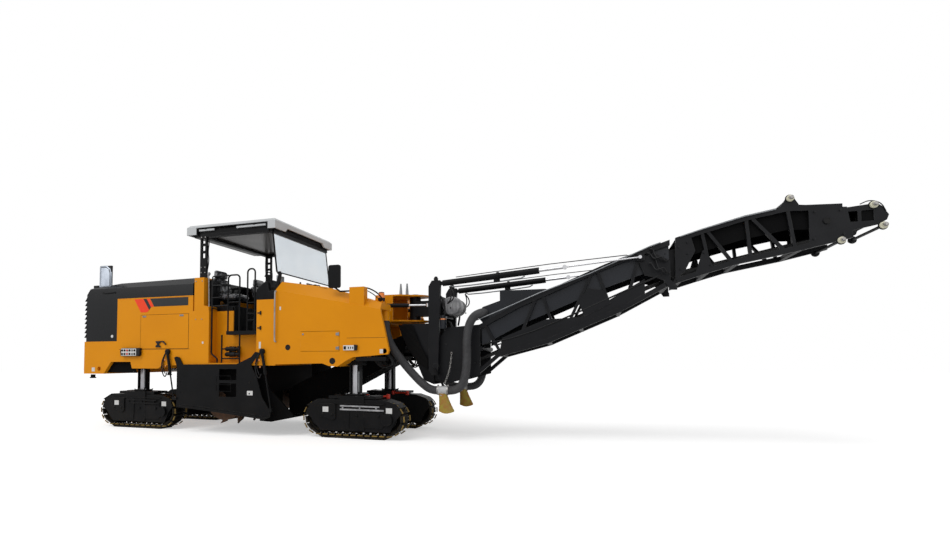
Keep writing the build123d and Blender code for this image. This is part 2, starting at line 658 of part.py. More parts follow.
def make_roof():
    """Shallow roof tray, its sides cut open under a band and its front rim notched."""
    low = ROOF_TOP - ROOF_THICKNESS
    roof = block((ROOF_REAR, ROOF_FRONT), (-ROOF_HALF, ROOF_HALF), (low, ROOF_TOP))
    roof = chamfer(roof.edges().group_by(Axis.Z)[-1], ROOF_RIM_CHAMFER)
    cavity = block((ROOF_REAR + ROOF_SKIN, ROOF_FRONT - ROOF_SKIN),
                   (-ROOF_HALF + ROOF_SKIN, ROOF_HALF - ROOF_SKIN), (low - 1, ROOF_TOP - ROOF_SKIN))
    cavity = chamfer(cavity.edges().group_by(Axis.Z)[-1], ROOF_RIM_CHAMFER)
    side_cut = block(ROOF_SIDE_CUT, (-ROOF_HALF - 1, ROOF_HALF + 1), (low - 1, ROOF_TOP - ROOF_BAND))
    notch = block((ROOF_FRONT - ROOF_SKIN - 1, ROOF_FRONT + 1), (-ROOF_NOTCH_HALF, ROOF_NOTCH_HALF),
                  (low - 1, low + ROOF_NOTCH_DEPTH))
    notch = chamfer(notch.edges().filter_by(Axis.X).group_by(Axis.Z)[-1], ROOF_NOTCH_DEPTH - 5)
    return roof - cavity - side_cut - notch


WINDSHIELD = [  # x, z: lower and upper edge of the pane, hung from the roof
    (-1500, ROOF_TOP - 990), (-1590, ROOF_TOP - 250),
]
WINDSHIELD_HALF = 1060
WINDSHIELD_THICKNESS = 10


def make_windshield():
    """Single tilted pane under the roof's front edge."""
    (x_low, z_low), (x_high, z_high) = WINDSHIELD
    return side_profile([(x_low, z_low), (x_low + WINDSHIELD_THICKNESS, z_low),
                         (x_high + WINDSHIELD_THICKNESS, z_high), (x_high, z_high)],
                        -WINDSHIELD_HALF, WINDSHIELD_HALF)


# ================================================================ milling drum and its housing
PICK_OUTLINE = [  # along the rim, outwards: one pick and its holder
    (-55, -12), (45, -12), (52, 38), (88, 95), (20, 62), (-40, 30),
]


def make_drum():
    """Milling drum on its shaft with a helix of picks."""
    end = DRUM_WIDTH / 2
    barrel = y_rod(0, 0, -end, end, DRUM_RADIUS) - y_rod(
        0, 0, -end + DRUM_WALL, end - DRUM_WALL, DRUM_RADIUS - DRUM_WALL)
    shaft = y_rod(0, 0, -DRUM_CHEEK_Y - DRUM_CHEEK_THICKNESS - 15,
                  DRUM_CHEEK_Y + DRUM_CHEEK_THICKNESS + 15, DRUM_SHAFT_RADIUS)
    tip_height = max(z for _, z in PICK_OUTLINE)
    outline = [(x, z + PICK_RADIUS - tip_height) for x, z in PICK_OUTLINE]
    pick = side_profile(outline, -PICK_WIDTH / 2, PICK_WIDTH / 2)
    pitch = (DRUM_WIDTH - PICK_WIDTH) / (PICK_COUNT - 1)
    picks = []
    for index in range(PICK_COUNT):
        y = -DRUM_WIDTH / 2 + PICK_WIDTH / 2 + index * pitch
        picks.append(Pos(0, y, 0) * Rot(0, index * PICK_TURN, 0) * pick)
    return Pos(DRUM_X, 0, DRUM_Z) * (barrel + [shaft] + picks)


HOUSING_X = (-3420, -1700)
HOUSING_TOP_Z = BODY_FLOOR
HOUSING_LOW_Z = 420


def make_drum_housing():
    """Open-bottomed drum box: cheeks that carry the shaft, roof, rear scraper and front wall."""
    y_in, y_out = DRUM_CHEEK_Y, DRUM_CHEEK_Y + DRUM_CHEEK_THICKNESS
    cheek = block(HOUSING_X, (y_in, y_out), (HOUSING_LOW_Z, HOUSING_TOP_Z))
    cheek = cheek - y_rod(DRUM_X, DRUM_Z, y_in - 1, y_out + 1, DRUM_SHAFT_RADIUS + SHAFT_GAP)
    roof = block(HOUSING_X, (-y_out, y_out), (HOUSING_TOP_Z - PLATE, HOUSING_TOP_Z))
    rear = block((HOUSING_X[0], HOUSING_X[0] + PLATE), (-y_out, y_out), (300, HOUSING_TOP_Z))
    front = block((HOUSING_X[1] - PLATE, HOUSING_X[1]), (-y_out, y_out), (760, HOUSING_TOP_Z))
    shoe = side_profile([(-1800, 250), (-1560, 240), (-1120, 330), (-1120, 350), (-1560, 262),
                         (-1800, 272)], -y_out, y_out)
    shoe_side = side_profile([(-1800, 250), (-1560, 240), (-1120, 330), (-1120, 380), (-1680, 900),
                              (-1800, 900)], y_in, y_out)
    return cheek + [flip(cheek), roof, rear, front, shoe, shoe_side, flip(shoe_side)]


CONVEYOR_FOOT = (-1640, 370)  # primary conveyor's lower end: x, z of its belt line
CONVEYOR_HEAD = (690, 1560)
CONVEYOR_HALF = 340
CONVEYOR_BELOW = 150
CONVEYOR_ABOVE = 240


def make_primary_conveyor():
    """Box trough from the drum up to the receiving hopper, with belt and head roller."""
    (x0, z0), (x1, z1) = CONVEYOR_FOOT, CONVEYOR_HEAD
    outline = [(x0, z0 - 60), (x0 + 250, z0 - 40), (x1, z1 - CONVEYOR_BELOW),
               (x1 + 40, z1), (x1, z1 + CONVEYOR_ABOVE), (x0 + 250, z0 + 560), (x0, z0 + 420)]
    case = side_profile(outline, -CONVEYOR_HALF, CONVEYOR_HALF)
    hollow = side_profile([(x0 - 1, z0 - 30), (x0 + 245, z0 - 10), (x1 + 60, z1 - 110),
                           (x1 + 60, z1 + 215), (x0 + 245, z0 + 530), (x0 - 1, z0 + 390)],
                          -CONVEYOR_HALF + EDGE, CONVEYOR_HALF - EDGE)
    case = case - hollow
    roller = y_rod(x1 - 60, z1 - 20, -CONVEYOR_HALF + EDGE - 1, CONVEYOR_HALF - EDGE + 1, 70)
    belt = beam((x0 + 60, 0, z0 + 60), (x1 - 80, 0, z1 + 30), 600, 12)
    hanger = block((-1150, -1100), (-CONVEYOR_HALF, CONVEYOR_HALF), (1010, 1310))
    yoke = block((-1150, -1100), (-TUNNEL_HALF, TUNNEL_HALF), (1300, 1390))
    arm = block((150, 210), (-TUNNEL_HALF, -CONVEYOR_HALF + 1), (1430, 1490))
    return case + [roller, belt, hanger, yoke, arm, flip(arm)]


# ================================================================ side plates
SIDE_PLATE = [  # x, z of a side plate with its two upper horns
    (-3520, 1230), (-3520, 470), (-3180, 455), (-2170, 360), (-1590, 300), (-1480, 340),
    (-1455, 430), (-1630, 670), (-1760, 1050), (-1880, 1270), (-1690, 1480), (-1790, 1500),
    (-1870, 1410), (-2180, 1280), (-3390, 1270), (-3470, 1400), (-3540, 1420), (-3590, 1400),
]
SIDE_PLATE_NEAR = HALF_WIDTH + 12
SIDE_PLATE_THICKNESS = 25
SIDE_PLATE_LIFT = 300
SIDE_ROD_RADIUS = 14
SIDE_BARREL_RADIUS = 27
STEP_HOLES = [  # low x, high x, low z, high z of the foot holes
    (-2560, -2180, 680, 930), (-2560, -2180, 985, 1190),
]
SIDE_CYLINDER_Y = HALF_WIDTH + 42
SIDE_BARREL_LENGTH = 415
SIDE_ROD_INSIDE = 40          # rod's length in its barrel with the plate down
SIDE_LEAN = 0.187             # forward run of a side cylinder for each unit of fall
SIDE_CYLINDERS = [  # top pin x and z, foot pin z, edge of the plate that the foot lug reaches
    (-3747, 1516, 628, -3510), (-1644, 1508, 467, -1500),
]


def side_pins(x_top, z_top, z_foot):
    """Upper and lower pin of a side cylinder in the x-z plane."""
    return (x_top, z_top), (x_top + SIDE_LEAN * (z_top - z_foot), z_foot)


def make_side_plate():
    """Right-hand side plate with a lower skid, foot holes and the lift rods on their lugs."""
    near, far = -SIDE_PLATE_NEAR, -SIDE_PLATE_NEAR - SIDE_PLATE_THICKNESS
    plate = side_profile(SIDE_PLATE, far, near)
    for x_low, x_high, z_low, z_high in STEP_HOLES:
        plate = plate - block((x_low, x_high), (far - 1, near + 1), (z_low, z_high))
    skid = side_profile([(-3500, 470), (-3180, 452), (-2170, 357), (-1590, 298), (-1480, 338),
                         (-1590, 330), (-2170, 392), (-3180, 490), (-3500, 505)], far - 25, far + 1)
    pieces = [skid]
    y = -SIDE_CYLINDER_Y
    for x_top, z_top, z_foot, edge in SIDE_CYLINDERS:
        top, foot = side_pins(x_top, z_top, z_foot)
        x_foot = foot[0]
        x_end, z_end = point_along(top, foot, SIDE_BARREL_LENGTH - SIDE_ROD_INSIDE)
        pieces.append(rod((x_foot, y, z_foot), (x_end, y, z_end), SIDE_ROD_RADIUS))
        outer = x_foot - 25 if edge > x_foot else x_foot + 25
        pieces.append(block(sorted((outer, edge)), (y - 20, near), (z_foot - 25, z_foot + 25)))
    return plate + pieces


def make_side_barrels():
    """Barrels of the side plates' lift cylinders on pins that stand out from the body."""
    pieces = []
    y = -SIDE_CYLINDER_Y
    for x_top, z_top, z_foot, _ in SIDE_CYLINDERS:
        top, foot = side_pins(x_top, z_top, z_foot)
        x_mouth, z_mouth = point_along(top, foot, SIDE_BARREL_LENGTH)
        x_past, z_past = point_along(top, foot, SIDE_BARREL_LENGTH + 1)
        x_end, z_end = point_along(top, foot, SIDE_ROD_INSIDE)
        barrel = rod((x_mouth, y, z_mouth), (x_top, y, z_top), SIDE_BARREL_RADIUS)
        bore = rod((x_past, y, z_past), (x_end, y, z_end), SIDE_ROD_RADIUS + SEAT_GAP)
        hook = block((x_top - 30, x_top + 30), (y, -HALF_WIDTH), (z_top - 25, z_top + 25))
        pieces.append(barrel + hook - bore)
    return pieces


# ================================================================ conveyor support
def make_bracket():
    """Yellow slewing bracket: two plates with a round nose, tied by side walls."""
    nose = Pos(SLEW_X, 0) * Circle(BRACKET_NOSE)
    plan = make_face(Polyline((FRONT_WALL - 90, -BRACKET_HALF), (660, -BRACKET_HALF),
                              (SLEW_X + 100, -230), (SLEW_X + 100, 230), (660, BRACKET_HALF),
                              (FRONT_WALL - 90, BRACKET_HALF), close=True)) + nose
    bore = Pos(SLEW_X, 0) * Circle(SLEW_PIN_RADIUS + SHAFT_GAP)
    plate = extrude(plan - bore, amount=BRACKET_PLATE)
    top = Pos(0, 0, BRACKET_HIGH - BRACKET_PLATE) * plate
    low = Pos(0, 0, BRACKET_LOW) * plate
    wall = block((FRONT_WALL - 90, BRACKET_WALL_FRONT), (-BRACKET_HALF, -BRACKET_HALF + 20),
                 (BRACKET_LOW, BRACKET_HIGH))
    back = block((FRONT_WALL - 90, FRONT_WALL - 70), (-BRACKET_HALF, BRACKET_HALF),
                 (BRACKET_LOW - 20, BRACKET_HIGH))
    foot = block((FRONT_WALL - 90, FRONT_WALL + 60), (-BRACKET_HALF, BRACKET_HALF),
                 (TUNNEL_TOP, BRACKET_LOW + 1))
    lug = block((FRONT_WALL, SLEW_FOOT_X + 30), (-SLEW_CYLINDER_Y - 60, -BRACKET_HALF + 1),
                (SLEW_CYLINDER_Z - 75, SLEW_CYLINDER_Z - 45))
    lug_high = Pos(0, 0, 120) * lug
    return top + [low, wall, flip(wall), back, foot, lug, flip(lug), lug_high, flip(lug_high)]


def make_pivot_frame():
    """Swinging support: hub and pin, cross beam, two uprights that carry the boom's pins."""
    hub = Pos(SLEW_X, 0, BRACKET_LOW + BRACKET_PLATE + SEAT_GAP) * Cylinder(
        HUB_RADIUS, BRACKET_HIGH - BRACKET_LOW - 2 * (BRACKET_PLATE + SEAT_GAP),
        align=(Align.CENTER, Align.CENTER, Align.MIN))
    pin = Pos(SLEW_X, 0, BRACKET_LOW) * Cylinder(
        SLEW_PIN_RADIUS, BRACKET_HIGH + 30 - BRACKET_LOW,
        align=(Align.CENTER, Align.CENTER, Align.MIN))
    neck = block((SLEW_X, UPRIGHT_REAR + 1), (-120, 120), (2150, 2430))
    cross = block((UPRIGHT_REAR, UPRIGHT_FRONT), (-UPRIGHT_NEAR - 1, UPRIGHT_NEAR + 1),
                  (2110, 2470))
    upright = side_profile(
        [(UPRIGHT_REAR, UPRIGHT_FOOT + 80), (UPRIGHT_REAR + 60, UPRIGHT_FOOT),
         (UPRIGHT_FRONT, UPRIGHT_FOOT), (UPRIGHT_FRONT + 50, UPRIGHT_TOP + 60),
         (UPRIGHT_FRONT + 50, UPRIGHT_TOP + 120), (UPRIGHT_REAR + 60, UPRIGHT_TOP + 120),
         (UPRIGHT_REAR, UPRIGHT_TOP + 20)],
        -UPRIGHT_NEAR - UPRIGHT_THICKNESS, -UPRIGHT_NEAR)
    slot = block((LIFT_FOOT[0] - 65, 2000), (-LIFT_Y - 28, -LIFT_Y + 28),
                 (LIFT_FOOT[1] - 65, LIFT_FOOT[1] + 90))
    bore = y_rod(BOOM_PIVOT_X, BOOM_PIVOT_Z, -UPRIGHT_NEAR - UPRIGHT_THICKNESS - 1,
                 -UPRIGHT_NEAR + 1, BOOM_PIN_RADIUS + SHAFT_GAP)
    upright = upright - slot - bore
    eye_x, eye_y = SLEW_EYE
    lug = block((eye_x - SLEW_LUG_REAR, UPRIGHT_REAR + 10),
                (-eye_y - SLEW_LUG_HALF, -eye_y + SLEW_LUG_HALF),
                (SLEW_CYLINDER_Z - 55, SLEW_CYLINDER_Z - 30))
    lug_high = Pos(0, 0, 85) * lug
    hopper_side = side_profile(
        [(740, 1985), (1150, 1000), (1330, 930), (1330, 985)] + [(UPRIGHT_REAR + 20, 1985)],
        -UPRIGHT_NEAR, -UPRIGHT_NEAR + EDGE)
    rear_wall = side_profile([(985, 1400), (1150, 1000), (1162, 1005), (997, 1405)],
                             -UPRIGHT_NEAR, UPRIGHT_NEAR)
    floor = side_profile([(1150, 1000), (1330, 930), (1330, 942), (1155, 1012)],
                         -UPRIGHT_NEAR, UPRIGHT_NEAR)
    blower = y_rod(1590, 2300, -330, 190, 150)
    blower_foot = block((UPRIGHT_FRONT - 1, 1600), (-250, 150), (2125, 2180))
    return hub + [pin, neck, cross, upright, flip(upright), lug, flip(lug), lug_high,
                  flip(lug_high), hopper_side, flip(hopper_side), rear_wall, floor, blower,
                  blower_foot]


# ================================================================ conveyor boom
TOP_LINE = [  # x, z along the boom's top chord, tail to fold
    (2100, 1900), (2800, 2265), (3440, 2530), (4130, 2820), (4700, 3020), (5060, 3140),
]
LOW_LINE = [  # x, z along its bottom chord
    (2080, 1130), (2440, 1440), (3220, 1650), (3740, 1875), (4330, 2130), (5060, 2530),
]
BOOM_WEB = [  # station of each diagonal's top end, and of its bottom end
    (2200, 2480), (3060, 2700), (3160, 3380), (3930, 3480), (4010, 4230), (4640, 4420),
]
SKIRT = [  # x, z of the lower side skirt over the return belt
    (2440, 1420), (3220, 1640), (3740, 1865), (4330, 2120), (4700, 2320), (4700, 2600),
    (4180, 2290), (3750, 2030), (3210, 2010), (2500, 1720),
]
FOLD_GUSSET = [
    (4610, 2900), (4850, 2985), (5060, 2860), (5060, 2520), (4860, 2610), (4700, 2650),
]
LIFT_GUSSET = [
    (3720, 2280), (3870, 2490), (4090, 2450), (4210, 2240), (3810, 2040),
]
TIP_TOP = [  # x, z along the tip section's top chord
    (5140, 3165), (5500, 3275), (6060, 3425), (6600, 3520), (7250, 3490),
]
TIP_LOW = [  # x, z along its bottom chord
    (5140, 2550), (5560, 2680), (5960, 2795), (6740, 2940), (7360, 3085),
]
TIP_WEB = [
    (5160, 5180), (5500, 5600), (5560, 5900), (6080, 6130), (6140, 6560), (6600, 6680),
]


GUIDE_WHEELS = [  # x, z of the pale guide wheels on the tip
    (6630, 3660), (7600, 3475), (7700, 3182), (7220, 3010),
]
WHEEL_SHAFT_RADIUS = 22


def height_on(line, x):
    """Height of a chord line at a station."""
    for (x0, z0), (x1, z1) in zip(line, line[1:]):
        if x0 <= x <= x1:
            return z0 + (z1 - z0) * (x - x0) / (x1 - x0)
    return line[0][1] if x < line[0][0] else line[-1][1]


def make_side_frame(top, low, web):
    """One side of a lattice boom: chords and diagonals in one plane."""
    y_low, y_high = -BOOM_HALF, -BOOM_HALF + CHORD_WIDTH
    pieces = [strip(top, y_low, y_high, CHORD_HEIGHT), strip(low, y_low, y_high, CHORD_HEIGHT)]
    middle = (y_low + y_high) / 2
    for x_top, x_low in web:
        pieces.append(beam((x_top, middle, height_on(top, x_top)),
                           (x_low, middle, height_on(low, x_low)), CHORD_WIDTH - 20, 44))
    return pieces


def make_boom_truss():
    """Main boom lattice with tail plates, skirts, gussets, pivot pins and fold lugs."""
    y_low, y_high = -BOOM_HALF, -BOOM_HALF + CHORD_WIDTH
    side = make_side_frame(TOP_LINE, LOW_LINE, BOOM_WEB)
    tail = side_profile([(1225, 1060), (1225, 1440), (1560, 1910), (2130, 1950), (2130, 1100),
                         (1620, 960), (1350, 985)], y_low, y_low + EDGE)
    skirt = side_profile(SKIRT, y_low + 10, y_low + 10 + EDGE)
    fold_plate = side_profile(FOLD_GUSSET, y_low, y_low + EDGE)
    lift_plate = side_profile(LIFT_GUSSET, y_low, y_low + EDGE)
    pin = y_rod(BOOM_PIVOT_X, BOOM_PIVOT_Z, -UPRIGHT_NEAR - UPRIGHT_THICKNESS, y_low + 2,
                BOOM_PIN_RADIUS)
    lug = side_profile([(4960, 2560), (5060, 2560), (FOLD_X + 45, FOLD_Z + 20),
                        (FOLD_X + 45, FOLD_Z - 40), (FOLD_X - 45, FOLD_Z - 40)],
                       y_low - 24, y_low + 2)
    lug = lug - y_rod(FOLD_X, FOLD_Z, y_low - 30, y_low + 10, FOLD_PIN_RADIUS + SHAFT_GAP)
    ear = block((LIFT_LUG[0] - 50, LIFT_LUG[0] + 60), (-LIFT_Y + THIMBLE_HALF + SEAT_GAP, y_low + 2),
                (LIFT_LUG[1] - 50, LIFT_LUG[1] + 70))
    half_parts = side + [tail, skirt, fold_plate, lift_plate, pin, lug, ear]
    cross = [
        block((x - 30, x + 30), (y_high - 1 - CHORD_WIDTH, -y_high + 1 + CHORD_WIDTH),
              (height_on(LOW_LINE, x) - 35, height_on(LOW_LINE, x) + 25))
        for x in (2440, 3220, 3740, 4330, 5000)
    ]
    cross.append(y_rod(2130, 1540, y_low + 1, -y_low - 1, 40))
    whole = half_parts[0] + half_parts[1:] + [flip(p) for p in half_parts] + cross
    return whole


CASING_HALF = BOOM_HALF - CHORD_WIDTH
CASING_SKIN = 8


def make_casing(top, depth, x_low, x_high):
    """Belt casing hung between the top chords, open underneath and at both ends."""
    line = [(x_low, height_on(top, x_low))]
    line += [(x, z) for x, z in top if x_low < x < x_high]
    line += [(x_high, height_on(top, x_high))]
    upper = [(x, z + CHORD_HEIGHT / 2 - 5) for x, z in line]
    lower = [(x, z - depth) for x, z in reversed(line)]
    inner = [(x, z - CASING_SKIN) for x, z in upper] + [(x, z - 1) for x, z in lower]
    return side_profile(upper + lower, -CASING_HALF, CASING_HALF) - side_profile(
        inner, -CASING_HALF + CASING_SKIN, CASING_HALF - CASING_SKIN)


DUCT_HALF = 330


def make_boom_casing():
    """Belt casing of the main boom with the dust duct on its back."""
    casing = make_casing(TOP_LINE, 330, 2150, 5050)
    duct = side_profile([(2060, 2090), (2140, 2260), (2440, 2360), (2440, 2530), (3190, 2530),
                         (3300, 2500), (2300, 2060), (2160, 1965)], -DUCT_HALF, DUCT_HALF)
    hollow = side_profile([(2080, 2090), (2150, 2245), (2450, 2345), (2450, 2518), (3180, 2518),
                           (3240, 2500), (2300, 2080), (2165, 1990)],
                          -DUCT_HALF + EDGE, DUCT_HALF - EDGE)
    return casing + duct - hollow


def make_belt():
    """Main belt: tail drum, carrying run and return run."""
    drum = y_rod(BOOM_PIVOT_X, BOOM_PIVOT_Z, -BOOM_HALF + EDGE, BOOM_HALF - EDGE, 150)
    run = [(BOOM_PIVOT_X + 20, BOOM_PIVOT_Z + 155), (2148, 1640)]
    back = [(BOOM_PIVOT_X + 60, BOOM_PIVOT_Z - 138), (2500, 1560), (4950, 2590)]
    carry = strip(run, -380, 380, 14)
    returning = strip(back, -380, 380, 14)
    return drum + [carry, returning]


def make_tip_truss():
    """Folding tip lattice with gussets, head frame and fold pins."""
    y_low = -BOOM_HALF
    side = make_side_frame(TIP_TOP, TIP_LOW, TIP_WEB)
    gusset = side_profile([(5130, 3120), (5350, 3210), (5405, 2990), (5265, 2700), (5130, 2560)],
                          y_low, y_low + EDGE)
    foot = side_profile([(5500, 2980), (5540, 3000), (5640, 2720), (5400, 2640)],
                        y_low, y_low + EDGE)
    head_plate = side_profile([(6850, 2990), (7360, 3085), (7300, 3480), (6850, 3505)],
                              y_low, y_low + EDGE)
    nose = side_profile([(7200, 3110), (7640, 3200), (7745, 3260), (7770, 3330), (7700, 3450),
                         (7640, 3500), (7200, 3460)], y_low, y_low + 20)
    for x_low, x_high in ((7310, 7420), (7460, 7600)):
        nose = nose - block((x_low, x_high), (y_low - 1, y_low + 21), (3260, 3410))
    horn = side_profile([(6500, 3530), (6595, 3695), (6665, 3695), (6740, 3560), (6900, 3540),
                         (6900, 3500), (6500, 3500)], y_low, y_low + EDGE)
    bosses = [y_rod(x, z, y_low, y_low + EDGE, 58) for x, z in GUIDE_WHEELS]
    arm = side_profile([(5130, 2600), (5130, FOLD_Z + 30), (FOLD_X + 45, FOLD_Z - 40),
                        (FOLD_X - 32, FOLD_Z - 36), (FOLD_X - 34, FOLD_Z + 25),
                        (5125, FOLD_Z + 140)], y_low + 5, y_low + 35)
    pin = y_rod(FOLD_X, FOLD_Z, y_low - 24, y_low + 6, FOLD_PIN_RADIUS)
    half_parts = side + [gusset, foot, head_plate, nose, horn, arm, pin] + bosses
    cross = [
        block((x - 30, x + 30), (y_low + 5, -y_low - 5),
              (height_on(TIP_LOW, x) - 35, height_on(TIP_LOW, x) + 25))
        for x in (5180, 5560, 5960, 6740)
    ]
    truss = half_parts[0] + half_parts[1:] + [flip(p) for p in half_parts] + cross
    return truss - [
        y_rod(x, z, y_low - 5, -y_low + 5, WHEEL_SHAFT_RADIUS + SEAT_GAP) for x, z in GUIDE_WHEELS
    ]




def make_tip_belt():
    """Tip casing, head pulley and guide wheels on their cross shafts."""
    casing = make_casing(TIP_TOP, 300, 5150, 7150)
    pulley = y_rod(7560, 3330, -BOOM_HALF + 20, BOOM_HALF - 20, 110)
    run = strip([(7100, 3430), (7560, 3442)], -380, 380, 14)
    back = strip([(5170, 2700), (6800, 3060), (7560, 3222)], -380, 380, 14)
    return casing + [pulley, run, back]


def make_guide_wheels():
    """Cross shafts with a pale wheel at each end."""
    pieces = []
    for x, z in GUIDE_WHEELS:
        shaft = y_rod(x, z, -BOOM_HALF - 20, BOOM_HALF + 20, WHEEL_SHAFT_RADIUS)
        wheels = [y_rod(x, z, s * (BOOM_HALF + 22) - 20, s * (BOOM_HALF + 22) + 20, 48)
                  for s in (-1, 1)]
        pieces.append(shaft + wheels)
    return group(*pieces)


# ================================================================ cylinders
LIFT_BARREL_LENGTH = 1730
LIFT_ROD_START = 1150
LIFT_ROD_END = 2130


def make_lift_barrels():
    """Barrels of the two boom lift cylinders on their pivot eyes."""
    y = -LIFT_Y
    tail = point_along(LIFT_FOOT, LIFT_LUG, 110)
    mouth = point_along(LIFT_FOOT, LIFT_LUG, LIFT_BARREL_LENGTH)
    inner = point_along(LIFT_FOOT, LIFT_LUG, 170)
    past = point_along(LIFT_FOOT, LIFT_LUG, LIFT_BARREL_LENGTH + 1)
    eye = y_rod(LIFT_FOOT[0], LIFT_FOOT[1], y - 27.7, y + 27.7, 50)
    neck = beam((LIFT_FOOT[0], y, LIFT_FOOT[1]), (tail[0], y, tail[1]), 44, 60)
    tube = rod((tail[0], y, tail[1]), (mouth[0], y, mouth[1]), LIFT_BARREL_RADIUS)
    bore = rod((inner[0], y, inner[1]), (past[0], y, past[1]), LIFT_ROD_RADIUS + SEAT_GAP)
    return pair(eye + [neck, tube] - bore)


def make_lift_rods():
    """Rods with their taut hoisting ropes up to the boom's ears."""
    y = -LIFT_Y
    inner = point_along(LIFT_FOOT, LIFT_LUG, LIFT_ROD_START)
    eye = point_along(LIFT_FOOT, LIFT_LUG, LIFT_ROD_END)
    rope_end = point_along(LIFT_FOOT, LIFT_LUG, 3245)
    shaft = rod((inner[0], y, inner[1]), (eye[0], y, eye[1]), LIFT_ROD_RADIUS)
    clevis = y_rod(eye[0], eye[1], y - 30, y + 30, 34)
    ropes = [rod((eye[0], y + s * 18, eye[1]), (rope_end[0], y + s * 18, rope_end[1]),
                 LIFT_ROPE_RADIUS) for s in (-1, 1)]
    thimble = y_rod(rope_end[0], rope_end[1], y - THIMBLE_HALF, y + THIMBLE_HALF, 26)
    return pair(shaft + [clevis, thimble] + ropes)


def slew_point(distance):
    """Point on the right-hand slewing cylinder's line, from its foot."""
    foot = (SLEW_FOOT_X, -SLEW_CYLINDER_Y)
    eye = (SLEW_EYE[0], -SLEW_EYE[1])
    angle = atan2(eye[1] - foot[1], eye[0] - foot[0])
    return (foot[0] + distance * cos(angle), foot[1] + distance * sin(angle), SLEW_CYLINDER_Z)


def make_slew_barrel():
    """Right-hand slewing cylinder barrel."""
    boss = Pos(SLEW_FOOT_X, -SLEW_CYLINDER_Y, SLEW_CYLINDER_Z) * Cylinder(30, 89.4)
    tube = rod(slew_point(0), slew_point(SLEW_BARREL_LENGTH), 36, side=(0, 0, 1))
    bore = rod(slew_point(SLEW_ROD_END), slew_point(SLEW_BARREL_LENGTH + 1), 18 + SEAT_GAP,
               side=(0, 0, 1))
    return boss + tube - bore


def make_slew_rod():
    """Right-hand slewing cylinder rod with its eye between the frame's ears."""
    eye_x, eye_y = SLEW_EYE
    shaft = rod(slew_point(SLEW_ROD_START), (eye_x, -eye_y, SLEW_CYLINDER_Z), 18, side=(0, 0, 1))
    eye = Pos(eye_x, -eye_y, SLEW_CYLINDER_Z) * Cylinder(34, 59.4)
    return shaft + eye


# ================================================================ dust hoses
HOSE_LOWER = [  # x, y, z from the body's outlet down to the tee, right-hand side
    (OUTLET[0], -OUTLET[1], OUTLET[2] - SEAT_GAP), (OUTLET[0], -OUTLET[1], 1820),
    (600, -797, 1570), (750, -786, 1330), (940, -774, 1110), (1150, -761, 935),
    (1330, -750, 840), (1450, -750, 840),
]
HOSE_UPPER = [  # x, y, z from the tee up to the boom's duct, right-hand side
    (1640, -750, 840), (1760, -750, 840), (1885, -749, 945), (1940, -746, 1150),
    (1955, -741, 1390), (1950, -735, 1640), (1965, -715, 1880), (2040, -640, 2080),
    (2170, -510, 2160), (2170, -330.3, 2160),
]


def hose_radii(points):
    """Bend radius at each inner point of a hose route."""
    radii = []
    for before, here, after in zip(points, points[1:], points[2:]):
        first = Vector(*here) - Vector(*before)
        second = Vector(*after) - Vector(*here)
        half_turn = radians(first.get_angle(second)) / 2
        radii.append(0.45 * min(first.length, second.length) / (sin(half_turn) / cos(half_turn)))
    return radii


def make_hose(points):
    """Round hose along straight runs joined by tangent arcs."""
    path = FilletPolyline(*points, radius=hose_radii(points))
    start = Plane(origin=path @ 0, z_dir=path % 0)
    return sweep(start * Circle(HOSE_RADIUS), path=path)


def make_tees():
    """Pale hose tees with the rubber outlet boots that hang from them."""
    start, end = HOSE_LOWER[-1], HOSE_UPPER[0]
    run = rod(start, end, HOSE_RADIUS + 6)
    boot = loft([
        Pos(1540, -750, 790) * Rectangle(110, 110),
        Pos(1600, -750, 480) * Rectangle(230, 60),
    ])
    strap = side_profile([(1340, 1220), (1400, 1220), (1600, 880), (1500, 850)],
                         -690, -UPRIGHT_NEAR - UPRIGHT_THICKNESS)
    return pair(run + [boot, strap])


# ================================================================ engine, mirrors, lamps
def make_engine():
    """Engine and cooler as plain heavy masses on the hull's floor."""
    engine = block((-4380, -3420), (-600, 600), (ENGINE_FLOOR, 2450))
    cooler = block((-5720, -5480), (-1000, 1000), (ENGINE_FLOOR, 2450))
    return group(engine, cooler)


def make_mirrors():
    """Rounded front mirror on its bent arm, and the beacon on the right-hand deck."""
    mirror_head = block((-360, -135), (-1240, -1205), (2590, 2990))
    mirror_head = fillet(mirror_head.edges().filter_by(Axis.Y), 40)
    arm = pipe([(MIRROR_BOX[0] - SEAT_GAP, -1200, 2530), (-150, -1200, 2530),
                (-245, -1222, 2600)], 14, 12)
    beacon = Pos(BEACON[0], -BEACON[1], BEACON[2] + SEAT_GAP) * Cylinder(
        48, 150, align=(Align.CENTER, Align.CENTER, Align.MIN))
    return group(mirror_head + arm, beacon)


def make_rear_mirror():
    """Framed mirror that stands on the hood's rear corner."""
    frame = block((-5600, -5300), (-1190, -1150), (2850, 3280))
    stem = rod((-5450, -1130, 2850), (-5450, -1150, 2900), 18)
    foot = block((-5480, -5420), (-1160, -1090), (2800, 2870))
    return frame + [stem, foot]


